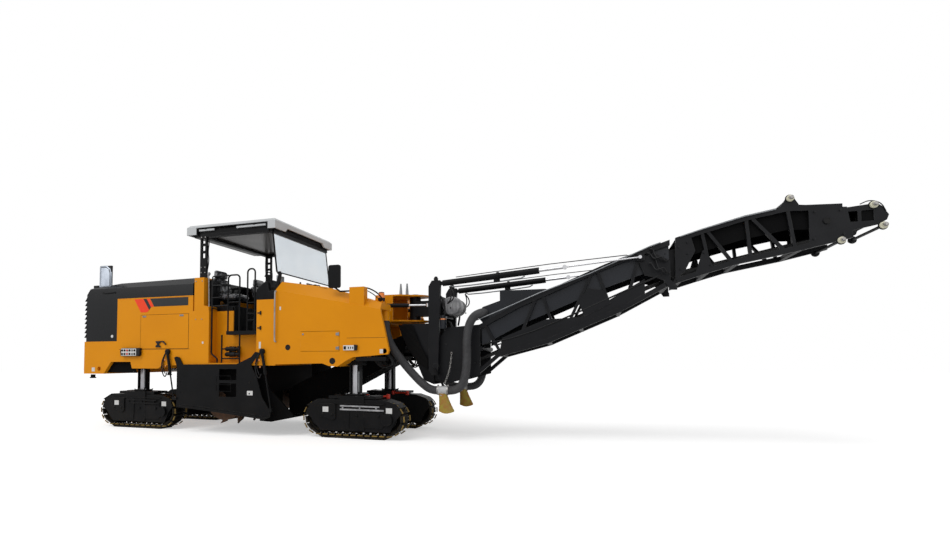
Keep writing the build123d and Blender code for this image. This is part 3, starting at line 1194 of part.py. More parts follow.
# ================================================================ assembly
def make_nodes():
    """Every named piece in machine stations."""
    front_body = make_front_body()
    hood_mirror = make_rear_mirror()
    ladder = make_ladder()
    door = make_door(DOOR_X, DOOR_Z, -HALF_WIDTH)
    hatch = make_door(HATCH_X, HATCH_Z, -HALF_WIDTH)
    plate = make_side_plate()
    slew_barrel = make_slew_barrel()
    slew_rod = make_slew_rod()
    hose_lower = make_hose(HOSE_LOWER)
    hose_upper = make_hose(HOSE_UPPER)
    nodes = {
        "rear_body": make_rear_body(),
        "mid_body": make_mid_body(),
        "front_body": front_body,
        "engine_block": make_engine(),
        "leg_housings": group(*[
            Pos(x, side * LEG_Y, 0) * make_leg_housing(foot) for _, x, side, foot in LEGS]),
        "platform": make_platform(),
        "seats": group(make_seat(-SEAT_Y), make_seat(SEAT_Y)),
        "console": make_console(),
        "ladders": pair(ladder),
        "drum_housing": make_drum_housing(),
        "primary_conveyor": make_primary_conveyor(),
        "slew_bracket": make_bracket(),
        "mirrors_front": make_mirrors(),
        "side_plate_barrels": group(*[pair(piece) for piece in make_side_barrels()]),
        "engine_hood": make_hood() + [hood_mirror, flip(hood_mirror)],
        "service_door_right": door,
        "service_door_left": flip(door),
        "front_hatch_right": hatch,
        "front_hatch_left": flip(hatch),
        "milling_drum": make_drum(),
        "side_plate_right": plate,
        "side_plate_left": flip(plate),
        "canopy_frame": make_canopy_frame(),
        "canopy_roof": make_roof(),
        "windshield": make_windshield(),
        "pivot_frame": make_pivot_frame(),
        "slew_barrel_right": slew_barrel,
        "slew_barrel_left": flip(slew_barrel),
        "slew_rod_right": slew_rod,
        "slew_rod_left": flip(slew_rod),
        "lift_barrels": make_lift_barrels(),
        "lift_rods": make_lift_rods(),
        "boom_truss": make_boom_truss(),
        "boom_casing": make_boom_casing(),
        "boom_belt": make_belt(),
        "tip_truss": make_tip_truss(),
        "tip_belt": make_tip_belt(),
        "tip_guide_wheels": make_guide_wheels(),
        "hose_lower_right": hose_lower,
        "hose_lower_left": flip(hose_lower),
        "hose_upper_right": hose_upper,
        "hose_upper_left": flip(hose_upper),
        "hose_tees": make_tees(),
    }
    leg = make_leg(LEG_FOOT - LEG_FLANGE)
    crawler = make_crawler()
    track = make_track()
    for name, x, side, _ in LEGS:
        place = Pos(x, side * LEG_Y, 0)
        nodes["leg_" + name] = place * leg
        nodes["crawler_" + name] = place * (crawler if side < 0 else flip(crawler))
        nodes["track_" + name] = place * track
    return nodes


def main():
    """Write one file for each named piece, in the exported frame."""
    os.makedirs("parts", exist_ok=True)
    for name, shape in make_nodes().items():
        export_step(Pos(ORIGIN_SHIFT_X, 0, 0) * shape, f"parts/{name}.step")
    for title, points in (("lower", HOSE_LOWER), ("upper", HOSE_UPPER)):
        print(title, "hose bend radii:", [round(radius) for radius in hose_radii(points)])


if __name__ == "__main__":
    main()
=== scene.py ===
"""Finishes and fine parts of a four-crawler cold planer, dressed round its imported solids.

Lengths are metres. Every builder takes stations, which are measured from the front legs' axis,
forward positive; Shape and Site turn them into the frame's own X. Y runs to the machine's left
and Z up, and a pair of like parts is built once on the right-hand side and mirrored.
"""
from __future__ import annotations

import json
import logging
import math
import random
from dataclasses import dataclass, field
from enum import Enum
from typing import Iterable, Optional, Sequence

import bmesh
import bpy
from mathutils import Matrix, Vector

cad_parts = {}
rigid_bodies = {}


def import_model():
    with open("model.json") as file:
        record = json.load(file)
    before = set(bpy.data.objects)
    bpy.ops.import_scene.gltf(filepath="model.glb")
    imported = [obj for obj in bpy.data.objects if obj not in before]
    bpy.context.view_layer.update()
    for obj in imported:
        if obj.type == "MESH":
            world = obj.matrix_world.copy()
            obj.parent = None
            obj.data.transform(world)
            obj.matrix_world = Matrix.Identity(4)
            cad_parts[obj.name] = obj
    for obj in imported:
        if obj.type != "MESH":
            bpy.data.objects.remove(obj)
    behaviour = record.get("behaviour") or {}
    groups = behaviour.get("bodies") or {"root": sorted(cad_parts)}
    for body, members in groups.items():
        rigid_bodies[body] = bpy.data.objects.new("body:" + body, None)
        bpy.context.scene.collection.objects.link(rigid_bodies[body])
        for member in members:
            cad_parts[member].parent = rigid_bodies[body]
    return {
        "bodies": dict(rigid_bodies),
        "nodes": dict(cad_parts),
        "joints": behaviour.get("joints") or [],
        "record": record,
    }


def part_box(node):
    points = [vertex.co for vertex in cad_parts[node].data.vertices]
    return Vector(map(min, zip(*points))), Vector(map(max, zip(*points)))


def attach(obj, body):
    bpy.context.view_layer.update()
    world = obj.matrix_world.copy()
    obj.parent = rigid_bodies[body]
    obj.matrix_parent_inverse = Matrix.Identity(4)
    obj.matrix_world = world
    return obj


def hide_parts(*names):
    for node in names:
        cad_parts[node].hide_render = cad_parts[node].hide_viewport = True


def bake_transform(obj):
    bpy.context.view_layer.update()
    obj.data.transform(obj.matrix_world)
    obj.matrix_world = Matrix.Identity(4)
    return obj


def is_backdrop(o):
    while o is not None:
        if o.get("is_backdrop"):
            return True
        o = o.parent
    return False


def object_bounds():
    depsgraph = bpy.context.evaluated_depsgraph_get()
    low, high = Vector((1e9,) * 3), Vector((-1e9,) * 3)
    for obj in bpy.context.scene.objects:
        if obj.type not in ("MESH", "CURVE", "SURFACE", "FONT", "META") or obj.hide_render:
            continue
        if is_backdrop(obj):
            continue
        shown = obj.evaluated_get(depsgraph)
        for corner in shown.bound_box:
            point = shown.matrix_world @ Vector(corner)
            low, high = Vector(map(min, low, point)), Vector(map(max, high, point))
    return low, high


LOG = logging.getLogger("cold_planer")
Colour = tuple[float, float, float]
Point = tuple[float, float, float]
Flat = tuple[float, float]
Plug = bpy.types.NodeSocket
Material = bpy.types.Material
Thing = bpy.types.Object
SMOOTH_ANGLE = math.radians(38)
OUT: Point = (0, -1, 0)
UP: Point = (0, 0, 1)
AHEAD: Point = (1, 0, 0)


class Site:
    """Where the front legs' axis stands in the frame."""

    leg_x: float = 0.0

    @classmethod
    def survey(cls) -> None:
        """Read the front legs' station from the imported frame."""
        low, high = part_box("leg_front_right")
        cls.leg_x = (low.x + high.x) / 2

    @classmethod
    def at(cls, x: float, y: float, z: float) -> Vector:
        """Point of the frame for a station, width and height."""
        return Vector((x + cls.leg_x, y, z))


def show(name: str, data: bpy.types.ID) -> Thing:
    """New object of the scene that shows the data.

    Args:
        name: name of the object.
        data: its mesh, curve, lamp or camera.

    Returns:
        The object.
    """
    item = bpy.data.objects.new(name, data)
    bpy.context.scene.collection.objects.link(item)
    return item


# ---------------------------------------------------------------- shader building
class Socket(Enum):
    """Kinds of node-group socket."""

    NUMBER = "NodeSocketFloat"
    COLOUR = "NodeSocketColor"


class Wiring:
    """Short hand for adding and linking nodes in one tree."""

    def __init__(self, tree: bpy.types.NodeTree) -> None:
        """Keep the tree that the nodes go into."""
        self.tree = tree

    def add(self, kind: str, **values: object) -> bpy.types.Node:
        """Add a node.

        Args:
            kind: node type without the ShaderNode prefix.
            values: node attributes, or inputs by name with spaces written as underscores.

        Returns:
            The new node.
        """
        node = self.tree.nodes.new("ShaderNode" + kind)
        for name, value in values.items():
            if hasattr(node, name):
                setattr(node, name, value)
                continue
            socket = node.inputs[name.replace("_", " ")]
            if isinstance(value, Plug):
                self.tree.links.new(value, socket)
            else:
                socket.default_value = value
        return node

    def math(self, operation: str, first: object, second: object = 0.0) -> Plug:
        """Result of a math node on two values or sockets, not clamped.

        Args:
            operation: name of the operation.
            first: value or socket.
            second: value or socket.

        Returns:
            Socket that carries the result.
        """
        node = self.tree.nodes.new("ShaderNodeMath")
        node.operation = operation
        for socket, value in zip(node.inputs, (first, second)):
            self.feed(socket, value)
        return node.outputs[0]

    def spread(self, value: Plug, low: object,
            high: object) -> Plug:
        """Value mapped from low..high to 0..1 and clamped.

        Args:
            value: socket to map.
            low: value that gives 0.
            high: value that gives 1.

        Returns:
            Socket that carries the result.
        """
        node = self.tree.nodes.new("ShaderNodeMapRange")
        node.interpolation_type = "SMOOTHSTEP"
        for name, given in (("Value", value), ("From Min", low), ("From Max", high)):
            self.feed(node.inputs[name], given)
        return node.outputs["Result"]

    def mix(self, share: object, first: object, second: object) -> Plug:
        """Colour between first and second.

        Args:
            share: how much of the second.
            first: colour or socket.
            second: colour or socket.

        Returns:
            Socket that carries the colour.
        """
        node = self.tree.nodes.new("ShaderNodeMix")
        node.data_type = "RGBA"
        colours = [socket for socket in node.inputs if socket.type == "RGBA"]
        self.feed(node.inputs[0], share)
        self.feed(colours[0], first)
        self.feed(colours[1], second)
        return next(socket for socket in node.outputs if socket.type == "RGBA")

    def feed(self, socket: Plug, value: object) -> None:
        """Link a socket to the input, or set its value."""
        if isinstance(value, Plug):
            self.tree.links.new(value, socket)
        elif socket.type == "RGBA":
            socket.default_value = (*value[:3], 1.0)
        else:
            socket.default_value = value

    def link(self, start: Plug, end: Plug) -> None:
        """Link two sockets."""
        self.tree.links.new(start, end)

    def group(self, effect: Effect, **values: object) -> bpy.types.Node:
        """Place a shared effect with its own values.

        Args:
            effect: the shared effect.
            values: its inputs by name.

        Returns:
            The group node.
        """
        node = self.tree.nodes.new("ShaderNodeGroup")
        node.node_tree = effect.group
        for label, value in values.items():
            self.feed(node.inputs[label], value)
        return node


def surface(name: str) -> tuple[Material, Wiring, bpy.types.bpy_prop_collection]:
    """New material with its wiring and the inputs of its surface shader.

    Args:
        name: name of the material.

    Returns:
        The material, its wiring and the shader's inputs.
    """
    material = bpy.data.materials.new(name)
    material.use_nodes = True
    return material, Wiring(material.node_tree), material.node_tree.nodes["Principled BSDF"].inputs


class Effect:
    """A shared surface effect, kept as one node group."""

    def __init__(self, name: str, takes: dict[str, tuple[Socket, object]],
                 gives: dict[str, Socket]) -> None:
        """Make an empty group with named inputs and outputs.

        Args:
            name: the group's name.
            takes: input names with their kind and usual value.
            gives: output names with their kind.
        """
        self.group = bpy.data.node_groups.new(name, "ShaderNodeTree")
        for label, (kind, value) in takes.items():
            socket = self.group.interface.new_socket(label, in_out="INPUT", socket_type=kind.value)
            socket.default_value = (*value, 1.0) if kind is Socket.COLOUR else value
        for label, kind in gives.items():
            self.group.interface.new_socket(label, in_out="OUTPUT", socket_type=kind.value)
        self.wiring = Wiring(self.group)
        self.inputs = self.group.nodes.new("NodeGroupInput").outputs
        self.outputs = self.group.nodes.new("NodeGroupOutput").inputs
        self.place = self.wiring.add("TexCoord").outputs["Object"]

    def noise(self, scale: object, detail: float, **more: float) -> Plug:
        """Noise in the object's own space."""
        return self.wiring.add("TexNoise", Vector=self.place, Scale=scale, Detail=detail,
                               **more).outputs[0]

    def give(self, label: str, value: Plug) -> None:
        """Send a value out of the group."""
        self.wiring.link(value, self.outputs[label])


class Effects:
    """The shared effects: edge wear, dust, mottling and surface grain."""

    def __init__(self) -> None:
        """Build each group once."""
        self.wear = self._edge_wear()
        self.dust = self._dust()
        self.mottle = self._mottle()
        self.grain = self._grain()

    @staticmethod
    def _edge_wear() -> Effect:
        """Rubbed edges: a mask that is 1 where an edge has lost its paint.

        Returns:
            The effect.
        """
        effect = Effect("edge_wear", {"Radius": (Socket.NUMBER, 0.01),
            "Amount": (Socket.NUMBER, 0.5), "Scale": (Socket.NUMBER, 9.0)},
            {"Mask": Socket.NUMBER})
        wire = effect.wiring
        rounded = wire.add("Bevel", samples=3, Radius=effect.inputs["Radius"])
        plain = wire.add("NewGeometry")
        dot = wire.add("VectorMath", operation="DOT_PRODUCT")
        wire.link(rounded.outputs[0], dot.inputs[0])
        wire.link(plain.outputs["Normal"], dot.inputs[1])
        bend = wire.math("SUBTRACT", 1.0, dot.outputs["Value"])
        noise = effect.noise(effect.inputs["Scale"], 4.0)
        broken = wire.math("MULTIPLY", wire.spread(bend, 0.02, 0.25),
                           wire.spread(noise, 0.42, 0.62))
        effect.give("Mask", wire.math("MULTIPLY", broken, effect.inputs["Amount"]))
        return effect

    @staticmethod
    def _dust() -> Effect:
        """Road dust that thickens towards the ground and lies in patches.

        Returns:
            The effect.
        """
        effect = Effect("road_dust", {"Top": (Socket.NUMBER, 1.6), "Amount": (Socket.NUMBER, 0.3),
                                      "Scale": (Socket.NUMBER, 2.2)}, {"Mask": Socket.NUMBER})
        wire = effect.wiring
        height = wire.add("SeparateXYZ", Vector=effect.place).outputs["Z"]
        low = wire.math("SUBTRACT", 1.0, wire.spread(height, 0.0, effect.inputs["Top"]))
        cloud = effect.noise(effect.inputs["Scale"], 6.0)
        speck = effect.noise(60.0, 2.0)
        patch = wire.spread(cloud, 0.35, 0.75)
        fine = wire.math("MULTIPLY", patch, wire.math("ADD", 0.6, speck))
        effect.give("Mask", wire.math("MULTIPLY", wire.math("MULTIPLY", low, fine),
                                      effect.inputs["Amount"]))
        return effect

    @staticmethod
    def _mottle() -> Effect:
        """Slow change of shade over a finish.

        Returns:
            The effect.
        """
        effect = Effect("mottle", {"Colour": (Socket.COLOUR, (0.5, 0.5, 0.5)),
                                   "Shade": (Socket.COLOUR, (0.4, 0.4, 0.4)),
                                   "Scale": (Socket.NUMBER, 1.5)},
                        {"Colour": Socket.COLOUR, "Cloud": Socket.NUMBER})
        wire = effect.wiring
        cloud = effect.noise(effect.inputs["Scale"], 5.0, Roughness=0.6)
        share = wire.spread(cloud, 0.3, 0.7)
        effect.give("Colour", wire.mix(share, effect.inputs["Colour"], effect.inputs["Shade"]))
        effect.give("Cloud", cloud)
        return effect

    @staticmethod
    def _grain() -> Effect:
        """Fine height: sprayed paint, moulded grain or cast skin, by scale.

        Returns:
            The effect.
        """
        effect = Effect("grain", {"Scale": (Socket.NUMBER, 180.0), "Wave": (Socket.NUMBER, 0.3)},
                        {"Height": Socket.NUMBER})
        wire = effect.wiring
        fine = effect.noise(effect.inputs["Scale"], 3.0)
        slow = effect.noise(3.0, 1.0)
        effect.give("Height", wire.math("ADD", fine, wire.math("MULTIPLY", slow,
                                                               effect.inputs["Wave"])))
        return effect


@dataclass(frozen=True)
class Finish:
    """One surface finish and what it takes to shade it."""

    name: str
    colour: Colour
    shade: Colour
    rough: float = 0.4
    metal: float = 0.0
    coat: float = 0.0
    mottle: float = 1.5
    wear: float = 0.0
    wear_colour: Colour = (0.32, 0.31, 0.29)
    wear_metal: float = 0.6
    dust: float = 0.0
    dust_top: float = 1.6
    grain: float = 220.0
    depth: float = 0.0004
    ribs: float = 0.0
    shine: float = 0.28
    coat_rough: float = 0.12

    def build(self, effects: Effects) -> Material:
        """Make the material.

        Args:
            effects: the shared node groups.

        Returns:
            The finished material.
        """
        material, wire, inputs = surface(self.name)
        material.diffuse_color = (*self.colour, 1.0)
        base = wire.group(effects.mottle, Colour=self.colour, Shade=self.shade,
                           Scale=self.mottle)
        colour = base.outputs["Colour"]
        rough: object = wire.math("ADD", self.rough - 0.06, wire.math(
            "MULTIPLY", base.outputs["Cloud"], 0.12))
        metal: object = self.metal
        if self.wear:
            worn = wire.group(effects.wear, Amount=self.wear).outputs["Mask"]
            colour = wire.mix(worn, colour, self.wear_colour)
            metal = wire.math("ADD", self.metal, wire.math(
                "MULTIPLY", worn, self.wear_metal - self.metal))
        if self.dust:
            dusty = wire.group(effects.dust, Amount=self.dust, Top=self.dust_top)
            colour = wire.mix(dusty.outputs["Mask"], colour, DUST_COLOUR)
            rough = wire.math("ADD", rough, wire.math("MULTIPLY", dusty.outputs["Mask"], 0.4))
        height = wire.group(effects.grain, Scale=self.grain).outputs["Height"]
        if self.ribs:
            wave = wire.add("TexWave", Vector=wire.add("TexCoord").outputs["Object"],
                            Scale=self.ribs, bands_direction="DIAGONAL")
            height = wire.math("ADD", height, wire.math("MULTIPLY", wave.outputs[1], 2.0))
        bump = wire.add("Bump", Strength=0.6, Distance=self.depth, Height=height)
        for label, value in (
                ("Base Color", colour), ("Roughness", rough), ("Metallic", metal),
                ("Normal", bump.outputs[0]), ("Specular IOR Level", self.shine),
                ("Coat Weight", self.coat), ("Coat Roughness", self.coat_rough)):
            wire.feed(inputs[label], value)
        return material


DUST_COLOUR: Colour = (0.15, 0.125, 0.095)

FINISHES = (
    Finish("body_yellow", (0.7, 0.262, 0.004), (0.655, 0.24, 0.004), rough=0.38,
           wear=0.12, dust=0.1, dust_top=2.0, mottle=0.9, shine=0.12),
    Finish("hood_black", (0.0042, 0.0048, 0.006), (0.0031, 0.0036, 0.0045), rough=0.26, coat=0.22,
           wear=0.06, dust=0.01, dust_top=2.0, shine=0.1),
    Finish("duct_slate", (0.0125, 0.0145, 0.0195), (0.0095, 0.011, 0.015), rough=0.36, coat=0.1,
           wear=0.08, dust=0.02, dust_top=2.0, shine=0.2),
    Finish("frame_black", (0.0058, 0.0058, 0.0066), (0.0038, 0.004, 0.0044), rough=0.46,
           wear=0.14, dust=0.04, dust_top=1.0, mottle=3.0, depth=0.0007, shine=0.1),
    Finish("boom_black", (0.0074, 0.0077, 0.0092), (0.0052, 0.0055, 0.0066), rough=0.42,
           wear=0.12, dust=0.025, dust_top=2.2, mottle=2.4, shine=0.14),
    # painted shade: a darker, duller black than any paint, for parts under the body, under the
    # tracks and in recesses where shade falls
    Finish("painted_shade_black", (0.003, 0.003, 0.0033), (0.0022, 0.0022, 0.0024), rough=0.7,
           dust=0.02, shine=0.04),
    Finish("roof_grey", (0.52, 0.535, 0.545), (0.46, 0.475, 0.485), rough=0.42, coat=0.08,
           mottle=0.8),
    Finish("roof_lining", (0.05, 0.044, 0.037), (0.026, 0.023, 0.02), rough=0.3, coat=0.1),
    Finish("engine_grey", (0.16, 0.16, 0.165), (0.11, 0.11, 0.115), rough=0.6, dust=0.2,
           grain=90.0, depth=0.0015),
    Finish("console_black", (0.0068, 0.0072, 0.0085), (0.0052, 0.0055, 0.0064), rough=0.5,
           dust=0.02, grain=420.0, depth=0.0005, shine=0.12),
    Finish("desk_grey", (0.2, 0.21, 0.225), (0.16, 0.17, 0.18), rough=0.5, grain=420.0),
    Finish("drum_steel", (0.075, 0.05, 0.036), (0.15, 0.078, 0.045), rough=0.68, metal=0.55,
           mottle=9.0, wear=0.6, wear_colour=(0.3, 0.22, 0.17), grain=130.0, depth=0.002),
    Finish("chrome_rod", (0.62, 0.62, 0.635), (0.55, 0.55, 0.57), rough=0.14, metal=1.0,
           mottle=4.0, depth=0.0001),
    Finish("leg_grey", (0.5, 0.5, 0.52), (0.38, 0.38, 0.4), rough=0.3, metal=0.8,
           mottle=2.5, dust=0.06, shine=0.4),
    Finish("guide_steel", (0.3, 0.3, 0.3), (0.2, 0.2, 0.2), rough=0.32, metal=0.85,
           mottle=6.0, dust=0.2),
    Finish("belt_rubber", (0.0042, 0.0042, 0.0044), (0.003, 0.003, 0.0032), rough=0.75, dust=0.02,
           dust_top=3.0, grain=60.0, depth=0.0012, ribs=6.0, shine=0.06),
    Finish("roller_cream", (0.66, 0.64, 0.5), (0.56, 0.54, 0.41), rough=0.35, coat=0.2,
           mottle=14.0),
    Finish("hose_grey", (0.056, 0.056, 0.059), (0.04, 0.04, 0.043), rough=0.55, mottle=5.0,
           dust=0.08, dust_top=2.5, grain=300.0),
    Finish("tee_grey", (0.47, 0.475, 0.48), (0.38, 0.385, 0.39), rough=0.38, mottle=8.0,
           wear=0.1),
    Finish("boot_rubber", (0.33, 0.27, 0.035), (0.34, 0.15, 0.03), rough=0.62, mottle=12.0,
           dust=0.3),
    Finish("track_rubber", (0.0062, 0.006, 0.0058), (0.0095, 0.0085, 0.0068), rough=0.7,
           mottle=11.0, dust=0.1, dust_top=0.9, shine=0.12, wear=0.45,
           wear_colour=(0.24, 0.16, 0.05), grain=80.0, depth=0.002),
    Finish("shoe_edge", (0.25, 0.165, 0.035), (0.13, 0.09, 0.035), rough=0.6, metal=0.3,
           mottle=22.0, grain=140.0, depth=0.0015),
    Finish("cable_black", (0.0062, 0.0062, 0.007), (0.009, 0.009, 0.01), rough=0.45, mottle=6.0,
           dust=0.03, shine=0.2),
    Finish("plate_white", (0.66, 0.66, 0.65), (0.58, 0.58, 0.57), mottle=10.0),
    Finish("fitting_grey", (0.26, 0.27, 0.28), (0.18, 0.19, 0.2), metal=0.4,
           mottle=12.0),
    Finish("bolt_steel", (0.33, 0.32, 0.31), (0.21, 0.2, 0.19), rough=0.38, metal=0.9,
           mottle=30.0),
    Finish("stripe_orange", (0.88, 0.055, 0.006), (0.8, 0.045, 0.006)),
    Finish("stripe_black", (0.0095, 0.0095, 0.0105), (0.012, 0.012, 0.013), rough=0.35),
    Finish("link_red", (0.66, 0.045, 0.022), (0.5, 0.032, 0.018), wear=0.25,
           mottle=10.0),
    Finish("lamp_amber", (0.9, 0.24, 0.02), (0.8, 0.18, 0.015), rough=0.15, coat=0.6),
    Finish("copper_band", (0.55, 0.22, 0.09), (0.42, 0.16, 0.07), rough=0.32, metal=0.9,
           mottle=12.0),
    Finish("wrap_grey", (0.4, 0.4, 0.41), (0.24, 0.24, 0.25), rough=0.38, mottle=9.0,
           grain=24.0, depth=0.008),
    # dark seams and seals, and painted shade filling holes and bores
    Finish("seam_dark_and_bore_shade", (0.006, 0.006, 0.006), (0.009, 0.008, 0.007), rough=0.8),
    # mirror panes, rims and displays: the metal reflects the surround, and the pale blue tint is a
    # painted sky reflection
    Finish("silver_sky_tint", (0.42, 0.46, 0.52), (0.26, 0.29, 0.34), rough=0.16, metal=0.6,
           mottle=2.4, depth=0.00005),
)


class SeatCover:
    """Dark vinyl with a pale mottled print under a glossy film."""

    name = "seat_cover"
    dark: Colour = (0.01, 0.01, 0.0115)
    pale: Colour = (0.23, 0.23, 0.25)

    def build(self, effects: Effects) -> Material:
        """Make the seat cover from the shared groups and a blotched print.

        Args:
            effects: the shared node groups.

        Returns:
            The finished material.
        """
        material = Finish(self.name, self.dark, (0.024, 0.024, 0.027), rough=0.34, coat=0.7,
                          grain=500.0).build(effects)
        wire = Wiring(material.node_tree)
        shader = material.node_tree.nodes["Principled BSDF"]
        place = wire.add("TexCoord").outputs["Object"]
        blot = wire.add("TexVoronoi", Vector=place, Scale=26.0, feature="SMOOTH_F1")
        cloud = wire.add("TexNoise", Vector=place, Scale=11.0, Detail=5.0)
        print_mask = wire.math("MULTIPLY", wire.spread(blot.outputs["Distance"], 0.3, 0.52),
                               wire.spread(cloud.outputs[0], 0.46, 0.6))
        before = shader.inputs["Base Color"].links[0].from_socket
        wire.link(wire.mix(wire.math("MULTIPLY", print_mask, 0.7), before, self.pale),
                  shader.inputs["Base Color"])
        return material


class Glass:
    """Pale windshield pane that mirrors its surround in part."""

    name = "windshield_glass"
    tint: Colour = (0.8, 0.87, 0.93)
    smear: Colour = (0.86, 0.92, 0.96)

    def build(self, effects: Effects) -> Material:
        """Make the pane; its smears come from the shared mottle group.

        Args:
            effects: the shared node groups.

        Returns:
            The finished material.
        """
        material, wire, inputs = surface(self.name)
        cloud = wire.group(effects.mottle, Colour=self.tint, Shade=self.smear)
        rough = wire.math("MULTIPLY", cloud.outputs["Cloud"], 0.06)
        for label, value in (
                ("Base Color", cloud.outputs["Colour"]), ("Roughness", rough), ("IOR", 1.45),
                ("Metallic", 0.55), ("Transmission Weight", 0.4)):
            wire.feed(inputs[label], value)
        return material


class Palette:
    """Every material of the machine, by name."""

    def __init__(self) -> None:
        """Build the shared effects and then each finish."""
        effects = Effects()
        self.made = {item.name: item.build(effects) for item in (*FINISHES, SeatCover(), Glass())}

    def __getitem__(self, name: str) -> Material:
        """Material of that name."""
        return self.made[name]


CAD_FINISH = {  # finishes of the carried-over nodes whose name starts so
    "rear_body": "body_yellow", "mid_body": "body_yellow", "front_body": "body_yellow",
    "front_hatch": "body_yellow", "service_door": "body_yellow", "slew_bracket": "body_yellow",
    "engine_hood": "hood_black", "engine_block": "engine_grey", "console": "console_black",
    "milling_drum": "drum_steel", "canopy_roof": "roof_grey", "windshield": "windshield_glass",
    "slew_rod": "chrome_rod", "lift_rods": "chrome_rod", "leg_front": "leg_grey",
    "leg_rear": "leg_grey", "boom_belt": "belt_rubber", "boom": "boom_black",
    "boom_casing": "duct_slate",
    # the primary conveyor and the drum housing take the painted-shade black for the shade under
    # the body
    "primary_conveyor": "painted_shade_black", "drum_housing": "painted_shade_black", "tip_belt": "belt_rubber",
    "tip_guide_wheels": "roller_cream", "tip": "boom_black", "pivot_frame": "boom_black",
    "hose_tees": "tee_grey", "hose_": "hose_grey", "track_": "track_rubber",
}
FRAME_FINISH = "frame_black"


def dress_nodes(nodes: dict[str, Thing], palette: Palette) -> None:
    """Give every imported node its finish.

    Args:
        nodes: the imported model's objects by name.
        palette: the machine's materials.
    """
    for name, item in nodes.items():
        matches = [key for key in CAD_FINISH if name.startswith(key)]
        finish = CAD_FINISH[max(matches, key=len)] if matches else FRAME_FINISH
        if not item.data.materials:
            item.data.materials.append(palette[finish])
        for index in range(len(item.material_slots)):
            item.material_slots[index].material = palette[finish]
    LOG.info("dressed %d nodes", len(nodes))


# ---------------------------------------------------------------- shape building
def circle(sides: int) -> list[Flat]:
    """Unit circle as pairs of cosine and sine."""
    return [(math.cos(math.tau * i / sides), math.sin(math.tau * i / sides))
            for i in range(sides)]


def at_width(y: float, points: Sequence[Flat]) -> list[Point]:
    """Points (x, z) of a side view, all at one width."""
    return [(x, y, z) for x, z in points]


def cap(radius: float, rise: float, top: float, crown: float) -> list[Flat]:
    """Outline of a disc whose wall rises and then draws in to a smaller flat top."""
    return [(0, radius), (rise, radius), (top, crown), (top, 0)]


def collar(inner: float, outer: float, length: float) -> list[Flat]:
    """Outline of a ring round a pipe."""
    return [(0, inner), (0, outer), (length, outer), (length, inner)]


